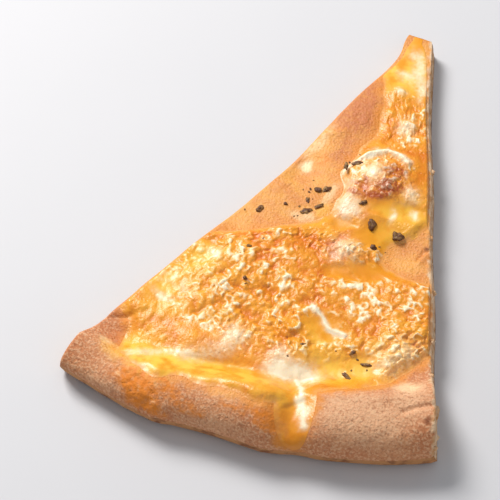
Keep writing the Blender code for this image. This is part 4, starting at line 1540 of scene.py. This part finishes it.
@dataclass(frozen=True)
class Bread:
    """The leavened wedge: a tube of rings round the slice, closed at the tip and along the rim."""

    dough: Dough = Dough()
    layer: Layer = Layer()
    marks: BreadMarks = BreadMarks()
    columns: int = 201
    coarse: int = 4
    body_rows: int = 232
    nose_rows: int = 40
    wall_steps: int = 20
    left_lean: float = 0.0009
    right_lean: float = 0.0012
    lean_power: int = 6
    pore_size: float = 0.0027
    pore_depth: float = 0.0009
    cut_relief: tuple[float, float] = (0.00030, 0.00010)

    def rings(self) -> tuple[Array, Array, Array]:
        """Lays out the rings: path lengths, radii and angles of the top's points.

        Returns:
            Path lengths and radii for each row and column, and the columns' angles.
        """
        even = np.linspace(-1.0, 1.0, self.columns)
        phi = self.dough.outline.half_angle * (even + 0.08 * np.sin(math.pi * even))
        share = np.interp(np.linspace(0.0, 1.0, self.body_rows), (0.0, 0.72, 1.0), (0.0, 0.84, 1.0))
        turn = np.linspace(0.0, 0.5 * math.pi, self.nose_rows + 1)[1:, None]
        start = self.dough.nose_start(phi)[None, :]
        tip = self.dough.outline.tip
        flat = tip + (start - tip) * share[:, None]
        r = np.vstack([flat, start + self.dough.nose_reach * np.sin(turn)])
        s = np.vstack([flat, start + self.dough.nose_length(phi)[None, :] * turn / (0.5 * math.pi)])
        return s, r, phi

    def cut_face(self, top: Array, bottom: Array,
                 outward: tuple[float, float, float]) -> tuple[Array, Array]:
        """Fills a cut between its upper and its lower edge, uneven, with the crumb's open pores.

        A point is blended down the cut and moved outwards by layered noise, less the pores, both
        fading out at the two edges.

        Args:
            top: The upper edge's points.
            bottom: The lower edge's points.
            outward: The direction out of the cut.

        Returns:
            Points for each place on the edge and each step down, and how deep in a pore they are.
        """
        step = np.linspace(0.0, 1.0, self.wall_steps + 1)[None, 1:-1, None]
        points = top[:, None, :] * (1.0 - step) + bottom[:, None, :] * step
        thick = np.clip((top[:, 2] - bottom[:, 2])[:, None] / self.dough.widest_height, 0.0, 1.0)
        fade = (4.0 * step * (1.0 - step))[..., 0] ** 0.6 * thick
        stretched = points * np.array([1.0, 0.75, 1.35])
        holes = ease(1.4 * (1.0 - Grain(self.pore_size, 71).cells(stretched) / 0.50))
        small = ease(1.3 * (1.0 - Grain(0.5 * self.pore_size, 74).cells(stretched) / 0.46))
        pores = np.maximum(holes * ease(0.7 + 1.2 * Grain(0.006, 75).value(points)), 0.6 * small)
        coarse, fine = self.cut_relief
        shift = coarse * Grain(0.0034, 72).layers(points, 2) + fine * Grain(0.0010, 73).value(points)
        shift = (shift - self.pore_depth * pores) * fade
        return points + shift[..., None] * np.array(outward), pores * fade

    def top_masks(self, s: Array, phi: Array) -> dict[str, Array]:
        """Works out the top's butter, its stained fringe and its marks, bent by noise.

        Args:
            s: Path lengths from the apex.
            phi: Angles from the middle line.

        Returns:
            Named masks from 0 to 1.
        """
        flat = flat_points(s, phi)
        x, y = bent_plan(flat, 0.0012, 0.0045, 81)
        end = through(self.layer.rim_border, np.degrees(phi))
        butter = 1.0 - ease((s + 0.0012 * Grain(0.0040, 83).layers(flat, 3) - end) / 0.0030)
        away = self.layer.nearest(s, phi, self.layer.border_points()[0])
        away = np.maximum(away + 0.0012 * Grain(0.0022, 84).layers(flat, 3), 0.0)
        masks = {"butter": butter, "fringe": np.exp(-(away / 0.0019) ** 2) * self.layer.fringe(flat)}
        for mark in fields(self.marks):
            masks[mark.name] = np.clip(strongest(getattr(self.marks, mark.name), x, y), 0.0, 1.0)
        return masks

    def build(self, apex: Array, finish: Material) -> Piece:
        """Builds the wedge ring by ring and joins its ends.

        The lower side follows the top's radius at height 0, and rounds up under the rim along a
        quarter ellipse.

        Args:
            apex: The apex in the row frame.
            finish: The crust's material.

        Returns:
            The piece.
        """
        dough, half = self.dough, self.dough.outline.half_angle
        s, r, phi = self.rings()
        top = dough.surface(s, phi[None, :])
        under = (r - dough.outline.rim_radius(phi)[None, :] + dough.nose_under) / dough.nose_under
        low = top.copy()
        low[..., 2] = dough.widest_height * (1.0 - np.sqrt(1.0 - np.clip(under, 0.0, 1.0) ** 2))
        thick = np.clip((top - low)[..., 2] / dough.widest_height, 0.0, 1.0)
        lean = np.where(phi < 0.0, -self.left_lean, self.right_lean) * np.abs(phi / half) ** self.lean_power
        low[..., 0] += lean[None, :] * thick
        top[0, :, 1] = top[0, :, 1].mean()
        low[0, :, 1] = top[0, :, 1]
        last = len(top) - 1
        low, low_phi = low[:last, ::self.coarse], phi[::self.coarse]
        right, right_pore = self.cut_face(top[:last, -1], low[:, -1], (math.cos(half), math.sin(half), 0.0))
        left, left_pore = self.cut_face(top[:last, 0], low[:, 0], (-math.cos(half), math.sin(half), 0.0))
        ends, end_pore = self.cut_face(top[0, ::self.coarse], low[0], (0.0, 1.0, 0.0))
        ends, end_pore = ends[1:-1], end_pore[1:-1]

        ring = np.concatenate([top[:last], right, low[:, ::-1], left[:, ::-1]], axis=1)
        count = ring.shape[1]
        ids = np.arange(last * count).reshape(last, count)
        widest = ids.size + np.arange(self.columns)
        tip_ids = widest[-1] + 1 + np.arange(ends.shape[0] * ends.shape[1]).reshape(ends.shape[:2])
        points = np.vstack([ring.reshape(-1, 3), top[last], ends.reshape(-1, 3)]) + apex

        top_ids = ids[:, :self.columns]
        right_ids = ids[:, self.columns:self.columns + self.wall_steps - 1]
        low_ids = ids[:, self.columns + self.wall_steps - 1:count - self.wall_steps + 1][:, ::-1]
        left_ids = ids[:, count - self.wall_steps + 1:][:, ::-1]
        around = np.hstack([ids, ids[:, :1]])
        faces = [grid_faces(around), grid_faces(np.vstack([top_ids[-1], widest])),
                 fan_faces(widest, low_ids[-1])]
        for side, corner, first, final in ((right_ids, widest[-1], top_ids[-1, -1], low_ids[-1, -1]),
                                           (left_ids, widest[0], top_ids[-1, 0], low_ids[-1, 0])):
            edge = np.array([first, *side[-1], final])
            faces.append(np.stack([edge[:-1], edge[1:], np.full(len(edge) - 1, corner)], axis=-1))
        cap = np.vstack([left_ids[0], tip_ids, right_ids[0]])
        faces.append(grid_faces(cap))
        faces.append(fan_faces(top_ids[0], cap[:, 0]))
        faces.append(grid_faces(np.stack([cap[:, -1], low_ids[0]])))

        masks = self.spread_masks(s, phi, last, (right_pore, left_pore, end_pore), len(low_phi))
        return make_piece("bread_body", points, faces, masks, finish, merge=True)

    def spread_masks(self, s: Array, phi: Array, last: int, pores: tuple[Array, Array, Array],
                     low_count: int) -> dict[str, Array]:
        """Puts the masks of the top, the cuts and the underside in the order of the points.

        Args:
            s: Path lengths of the top's points.
            phi: The columns' angles.
            last: The number of the row on the widest line.
            pores: The pores of the right cut, the left cut and the tip.
            low_count: How many columns the lower side has.

        Returns:
            A value for each point under each mask's name.
        """
        right, left, ends = pores
        top = self.top_masks(s, np.broadcast_to(phi[None, :], s.shape))
        step = np.linspace(0.0, 1.0, self.wall_steps + 1)[1:-1]
        open_part = ease((step + 0.12) / 0.14) * ease((1.0 - step) / 0.16)
        fall = (1.0 - ease(step / 0.5))[None, :]
        blank = np.zeros((last, low_count))
        spread = {}
        for name, values in top.items():
            beside, away = values[:last, -1:] * fall, (values[:last, :1] * fall)[:, ::-1]
            ring = np.hstack([values[:last], beside, blank, away])
            spread[name] = np.concatenate([ring.ravel(), values[last], np.zeros(ends.size)])
        outline = self.dough.outline
        r, turn = np.broadcast_arrays(np.minimum(s, outline.rim), phi[None, :])
        edge = outline.edge_distance(r, turn) + 0.0009 * Grain(0.0014, 85).layers(flat_points(r, turn), 2)
        torn = (1.0 - ease((edge - 0.0002) / 0.0009)) * (turn > 0.0)
        shares = {"crumb": (torn, open_part, 0.0, 1.0),
                  "under": (0.0 * torn, ease((step - 0.86) / 0.14), 1.0, 0.0)}
        for name, (over, down, below, tip) in shares.items():
            ring = np.hstack([over[:last], np.broadcast_to(down, right.shape),
                              np.full((last, low_count), below), np.broadcast_to(down[::-1], left.shape)])
            spread[name] = np.concatenate([ring.ravel(), over[last], np.full(ends.size, tip)])
        ring = np.hstack([np.zeros((last, self.columns)), right, blank, left[:, ::-1]])
        spread["pore"] = np.concatenate([ring.ravel(), np.zeros(self.columns), ends.ravel()])
        return spread


@dataclass(frozen=True)
class Cheese:
    """The melted layer as a closed sheet that lies in the dough's top."""

    layer: Layer = Layer()
    sunk: float = 0.0006
    fray: float = 0.0009
    thin_run: float = 0.0015
    fringe_run: tuple[float, float] = (0.0008, 0.0009)
    sharp_from: float = math.radians(70.0)
    block: int = 14

    def build(self, apex: Array, finish: Material) -> Piece:
        """Builds the sheet: the upper side over the dough, the lower side sunk into it.

        Args:
            apex: The apex in the row frame.
            finish: The cheese's material.

        Returns:
            The piece.
        """
        layer = self.layer
        s, phi, used = layer.grid()
        padded = np.pad(used, 1)
        filled = padded[:-1, :-1] | padded[1:, :-1] | padded[:-1, 1:] | padded[1:, 1:]
        ground = layer.dough.surface(s, phi)
        normal = layer.dough.normal(s, phi)
        free, cut = (layer.nearest(s, phi, border) for border in layer.border_points())
        masks = layer.masks(s, phi)
        depth = layer.depth(s, phi, masks.pop("relief"), free, cut)
        upper = ground + normal * depth[..., None]
        lower = ground - normal * self.sunk

        ids = np.cumsum(filled.ravel()).reshape(filled.shape) - 1
        total = int(filled.sum())
        faces = [grid_faces(ids, used)] + block_faces(ids + total, used, self.block)
        faces.append(self.skirt(ids, used, total))
        points = np.vstack([upper[filled], lower[filled]]) + apex
        frayed = free + self.fray * Grain(0.0017, 91).layers(ground, 3)
        tongue = layer.tongue(s, phi)
        masks["thin"] = (1.0 - ease(frayed / self.thin_run)) * (1.0 - 0.8 * tongue)
        middle, reach = self.fringe_run
        masks["fringe"] = np.exp(-((frayed - middle) / reach) ** 2) * layer.fringe(ground) * (1.0 - tongue)
        doubled = {name: np.tile(values[filled], 2) for name, values in masks.items()}
        piece = make_piece("cheese_layer", points, faces, doubled, finish)
        piece.data.set_sharp_from_angle(angle=self.sharp_from)
        return piece

    def skirt(self, ids: Array, used: Array, total: int) -> Array:
        """Closes the sheet along its border, on every cell side that has no neighbour.

        Args:
            ids: The upper points' numbers on the grid.
            used: Which cells the layer fills.
            total: How much higher a lower point's number is.

        Returns:
            Four-sided faces.
        """
        padded = np.pad(used, 1)
        inner = padded[1:-1, 1:-1]
        low_left, low_right, high_left, high_right = (
            ids[:-1, :-1], ids[:-1, 1:], ids[1:, :-1], ids[1:, 1:])
        sides = ((padded[:-2, 1:-1], low_left, low_right), (padded[2:, 1:-1], high_right, high_left),
                 (padded[1:-1, :-2], high_left, low_left), (padded[1:-1, 2:], low_right, high_right))
        faces = []
        for beside, first, second in sides:
            bare = inner & ~beside
            one, other = first[bare], second[bare]
            faces.append(np.stack([one, other, other + total, one + total], axis=-1))
        return np.vstack(faces)


class Where(Enum):
    """What a herb flake lies on."""

    DOUGH = "dough"
    CHEESE = "cheese"


@dataclass(frozen=True)
class Flake:
    """One herb flake: its place (r, phi in degrees), length, width, height and leafiness."""

    r: float
    phi: float
    length: float
    width: float
    height: float
    leafy: float
    turn: float
    where: Where


@dataclass(frozen=True)
class Herbs:
    """The dried herbs: crumpled flakes and round bits, joined in one piece."""

    layer: Layer = Layer()
    around: int = 28
    rings: int = 17
    speck_count: int = 26
    speck_length: tuple[float, float] = (0.0003, 0.0008)
    speck_spread: float = 0.0030
    crumple: float = 0.45
    curl: float = 0.35
    sunk: float = 0.12
    seed: int = 9
    flakes: tuple[Flake, ...] = (
        Flake(0.0790, -17.0, 0.0024, 0.0016, 0.0010, 0.3, 1.2, Where.DOUGH),
        Flake(0.0733, -13.2, 0.0012, 0.0010, 0.0008, 0.1, 0.0, Where.DOUGH),
        Flake(0.0643, -8.9, 0.0022, 0.0018, 0.0012, 0.0, 0.4, Where.DOUGH),
        Flake(0.0629, -7.0, 0.0022, 0.0016, 0.0008, 0.7, 0.9, Where.DOUGH),
        Flake(0.0690, -6.4, 0.0030, 0.0010, 0.0007, 0.5, 0.8, Where.DOUGH),
        Flake(0.0722, -8.4, 0.0030, 0.0014, 0.0006, 0.9, 0.6, Where.DOUGH),
        Flake(0.0686, -9.6, 0.0016, 0.0012, 0.0006, 0.8, 2.0, Where.DOUGH),
        Flake(0.0523, -2.2, 0.0028, 0.0014, 0.0008, 1.0, 0.5, Where.CHEESE),
        Flake(0.0552, -5.0, 0.0022, 0.0012, 0.0008, 1.0, 1.6, Where.CHEESE),
        Flake(0.0641, 3.5, 0.0024, 0.0015, 0.0008, 0.6, 0.7, Where.CHEESE),
        Flake(0.0700, 6.8, 0.0038, 0.0022, 0.0014, 0.15, 2.0, Where.CHEESE),
        Flake(0.0718, 12.9, 0.0030, 0.0027, 0.0016, 0.2, 0.3, Where.CHEESE),
        Flake(0.0770, 8.4, 0.0020, 0.0019, 0.0014, 0.0, 0.0, Where.CHEESE),
        Flake(0.0920, -12.6, 0.0018, 0.0009, 0.0006, 0.9, 0.3, Where.CHEESE),
        Flake(0.1012, -9.9, 0.0011, 0.0010, 0.0007, 0.0, 0.0, Where.CHEESE),
        Flake(0.1110, 9.4, 0.0020, 0.0011, 0.0007, 0.4, 1.0, Where.CHEESE),
        Flake(0.1137, 11.5, 0.0026, 0.0011, 0.0007, 0.7, 0.2, Where.CHEESE),
        Flake(0.1180, 9.2, 0.0030, 0.0013, 0.0008, 0.8, 2.6, Where.CHEESE),
        Flake(0.1130, 2.4, 0.0020, 0.0012, 0.0005, 1.0, 0.6, Where.CHEESE),
    )

    def specks(self) -> tuple[Flake, ...]:
        """Draws the tiny bits of herb that are scattered near the larger flakes.

        Returns:
            The specks as small flakes.
        """
        draw = np.random.default_rng(self.seed)
        made = []
        for _ in range(self.speck_count):
            host = self.flakes[int(draw.integers(len(self.flakes)))]
            length = draw.uniform(*self.speck_length)
            ahead, aside = draw.normal(0.0, self.speck_spread), draw.normal(0.0, self.speck_spread)
            width, leafy = length * draw.uniform(0.5, 0.9), draw.uniform(0.0, 1.0)
            made.append(Flake(host.r + ahead, host.phi + math.degrees(aside / host.r), length, width,
                              length * 0.5, leafy, draw.uniform(0.0, math.pi), host.where))
        return tuple(made)

    def shape(self, flake: Flake, seed: int) -> Array:
        """Shapes one flake: a closed ball of rings, flattened and crumpled by noise.

        Args:
            flake: The flake's sizes.
            seed: The seed of its crumpling.

        Returns:
            Points on a grid of rings, about the flake's own middle.
        """
        ball = ball_grid(self.rings, self.around)
        curl = self.curl * flake.leafy * Grain(0.5, seed + 1).value(ball)
        crumple = 1.0 + self.crumple * Grain(0.8, seed).layers(ball, 3) + curl
        return 0.5 * ball * crumple[..., None] * np.array([flake.length, flake.width, flake.height])

    def build(self, apex: Array, finish: Material) -> Piece:
        """Builds the flakes where they lie and joins them.

        Args:
            apex: The apex in the row frame.
            finish: The herbs' material.

        Returns:
            The piece.
        """
        dough = self.layer.dough
        balls = []
        flakes = self.flakes + self.specks()
        s = np.array([flake.r for flake in flakes])
        phi = np.radians([flake.phi for flake in flakes])
        ground, normal = dough.surface(s, phi), dough.normal(s, phi)
        relief = self.layer.masks(s, phi)["relief"]
        on_cheese = np.array([flake.where is Where.CHEESE for flake in flakes])
        away = np.full(s.shape, 1.0)
        lift = self.layer.depth(s, phi, relief, away, away) * on_cheese
        for index, flake in enumerate(flakes):
            ball = self.shape(flake, 100 + 7 * index)
            ahead = np.cross(np.array([-math.sin(flake.turn), math.cos(flake.turn), 0.0]), normal[index])
            ahead /= np.linalg.norm(ahead)
            side = np.cross(normal[index], ahead)
            middle = ground[index] + normal[index] * (lift[index] + self.sunk * flake.height)
            placed = middle + ball[..., :1] * ahead + ball[..., 1:2] * side + ball[..., 2:] * normal[index]
            balls.append(placed + apex)
        points, faces = join_balls(balls)
        leafy = np.repeat([flake.leafy for flake in flakes], self.rings * self.around)
        return make_piece("herb_flakes", points, faces, {"leafy": leafy}, finish, merge=True)


@dataclass(frozen=True)
class Crumbs:
    """The torn bits of crumb that stick out of the right cut."""

    dough: Dough = Dough()
    around: int = 16
    rings: int = 10
    crumple: float = 0.45
    outwards: float = 0.1
    pale: float = 0.4
    seed: int = 23
    # radius, height over the underside, size
    places: tuple[tuple[float, float, float], ...] = (
        (0.1258, 0.0085, 0.0026), (0.1290, 0.0110, 0.0018), (0.1330, 0.0070, 0.0020),
        (0.1375, 0.0090, 0.0013), (0.0480, 0.0072, 0.0016), (0.0560, 0.0060, 0.0010),
        (0.0705, 0.0074, 0.0014), (0.0780, 0.0060, 0.0010), (0.0880, 0.0070, 0.0016),
        (0.0960, 0.0060, 0.0010), (0.1040, 0.0078, 0.0014), (0.1150, 0.0080, 0.0012))

    def build(self, apex: Array, finish: Material) -> Piece:
        """Builds each bit as a crumpled ball half sunk in the cut, and joins them.

        Args:
            apex: The apex in the row frame.
            finish: The crust's material.

        Returns:
            The piece.
        """
        outline, ball, balls = self.dough.outline, ball_grid(self.rings, self.around), []
        for index, (r, height, size) in enumerate(self.places):
            x, y = outline.plan(np.array(r), np.array(outline.half_angle))
            middle = np.array([float(x) + self.outwards * size, float(y), height])
            crumple = 1.0 + self.crumple * Grain(0.8, self.seed + 5 * index).layers(ball, 3)
            balls.append(middle + 0.5 * size * ball * crumple[..., None] + apex)
        points, faces = join_balls(balls)
        masks = {"crumb": np.ones(len(points)), "cream": np.full(len(points), self.pale)}
        return make_piece("torn_crumbs", points, faces, masks, finish, merge=True)


@dataclass(frozen=True)
class Lamp:
    """A soft square light that faces the slice: where it hangs, its side and its power in watts."""

    name: str
    spot: tuple[float, float, float]
    size: float
    power: float
    tint: tuple[float, float, float]

    def build(self) -> None:
        """Adds the light."""
        lamp = bpy.data.lights.new(self.name, "AREA")
        lamp.size, lamp.energy, lamp.color = self.size, self.power, self.tint
        holder = bpy.data.objects.new(self.name, lamp)
        holder.location = self.spot
        holder.rotation_mode = "QUATERNION"
        holder.rotation_quaternion = (-Vector(self.spot)).to_track_quat("-Z", "Y")
        bpy.context.scene.collection.objects.link(holder)


@dataclass(frozen=True)
class Studio:
    """The pale table, the soft lights and the camera."""

    lamps: tuple[Lamp, ...] = (
        Lamp("key_light", (-0.52, 0.30, 0.62), 0.34, 8.6, (1.0, 0.985, 0.96)),
        Lamp("fill_light", (0.55, -0.35, 0.75), 0.9, 1.5, (0.97, 0.98, 1.0)))
    target: tuple[float, float, float] = (-0.01998, -0.08939, 0.009)
    azimuth: float = 22.17
    elevation: float = 57.0
    distance: float = 0.75
    seen_width: float = 0.138
    sensor: float = 36.0
    table_size: float = 3.0
    room_tint: Colour = (0.93, 0.97, 1.0, 1.0)
    room_strength: float = 0.33

    def build(self, apex: Array, finish: Material) -> None:
        """Sets up the table, the light and the view.

        Args:
            apex: The apex in the row frame.
            finish: The table's material.
        """
        half = 0.5 * self.table_size
        corners = np.array([[-half, -half, 0.0], [half, -half, 0.0], [half, half, 0.0], [-half, half, 0.0]])
        table = make_piece("table_top", corners, [np.array([[0, 1, 2, 3]])], {}, finish)
        for lamp in self.lamps:
            lamp.build()
        world = bpy.data.worlds.new("soft_room")
        world.use_nodes = True
        background = world.node_tree.nodes["Background"]
        background.inputs["Color"].default_value = self.room_tint
        background.inputs["Strength"].default_value = self.room_strength
        bpy.context.scene.world = world
        bpy.context.scene.view_settings.view_transform = "Standard"
        self.camera(apex)

    def camera(self, apex: Array) -> None:
        """Adds the camera, at the angle that the slice is seen from."""
        turn, rise = math.radians(self.azimuth), math.radians(self.elevation)
        back = Vector((math.sin(turn) * math.cos(rise), -math.cos(turn) * math.cos(rise), math.sin(rise)))
        lens = bpy.data.cameras.new("view")
        lens.sensor_width = self.sensor
        lens.lens = self.sensor * self.distance / self.seen_width
        lens.clip_start, lens.clip_end = 0.01, 20.0
        camera = bpy.data.objects.new("view", lens)
        camera.location = Vector(apex) + Vector(self.target) + back * self.distance
        camera.rotation_mode = "QUATERNION"
        camera.rotation_quaternion = (-back).to_track_quat("-Z", "Y")
        bpy.context.scene.collection.objects.link(camera)
        bpy.context.scene.camera = camera


def find_apex(bread: Bread) -> Array:
    """Finds the apex in the row frame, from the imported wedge's box and the outline's own reach.

    Args:
        bread: The wedge's sizes.

    Returns:
        The apex's place, at the height of the underside.
    """
    outline = bread.dough.outline
    low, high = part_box("bread")
    phi = np.linspace(-outline.half_angle, outline.half_angle, 400)
    far_left, far_right = outline.rim_radius(phi[[0, -1]])
    r = np.linspace(outline.tip, far_left, 400)
    left = outline.plan(r, np.full_like(r, -outline.half_angle))[0].min() - bread.left_lean
    r = np.linspace(outline.tip, far_right, 400)
    right = outline.plan(r, np.full_like(r, outline.half_angle))[0].max() + bread.right_lean
    far = (outline.rim_radius(phi) * np.cos(phi)).max()
    near = outline.tip * 0.5 * (1.0 + math.cos(outline.half_angle))
    x = 0.5 * (low[0] + high[0]) - 0.5 * (left + right)
    y = 0.5 * (low[1] + high[1]) + 0.5 * (far + near)
    return np.array([x, y, 0.0])


def main() -> None:
    """Builds the slice's pieces in order, sets the stage and reports each piece."""
    logging.basicConfig(level=logging.INFO, format="%(message)s")
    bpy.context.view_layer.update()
    effects = Effects()
    crust = CrustFinish().build(effects)
    bread = Bread()
    apex = find_apex(bread)
    LOG.info("apex at %s", np.round(apex, 5).tolist())

    body = bread.build(apex, crust)
    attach(body, "root")
    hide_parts("bread")
    layer = Cheese().build(apex, CheeseFinish().build(effects))
    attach(layer, "root")
    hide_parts("cheese")
    herbs = Herbs().build(apex, HerbFinish().build(effects))
    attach(herbs, "root")
    crumbs = Crumbs().build(apex, crust)
    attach(crumbs, "root")
    for piece in (body, layer, herbs, crumbs):
        piece.data.calc_loop_triangles()
        LOG.info("%s: %d triangles", piece.name, len(piece.data.loop_triangles))

    Studio().build(apex, FloorFinish().build(effects))


if __name__ == "__main__":
    main()
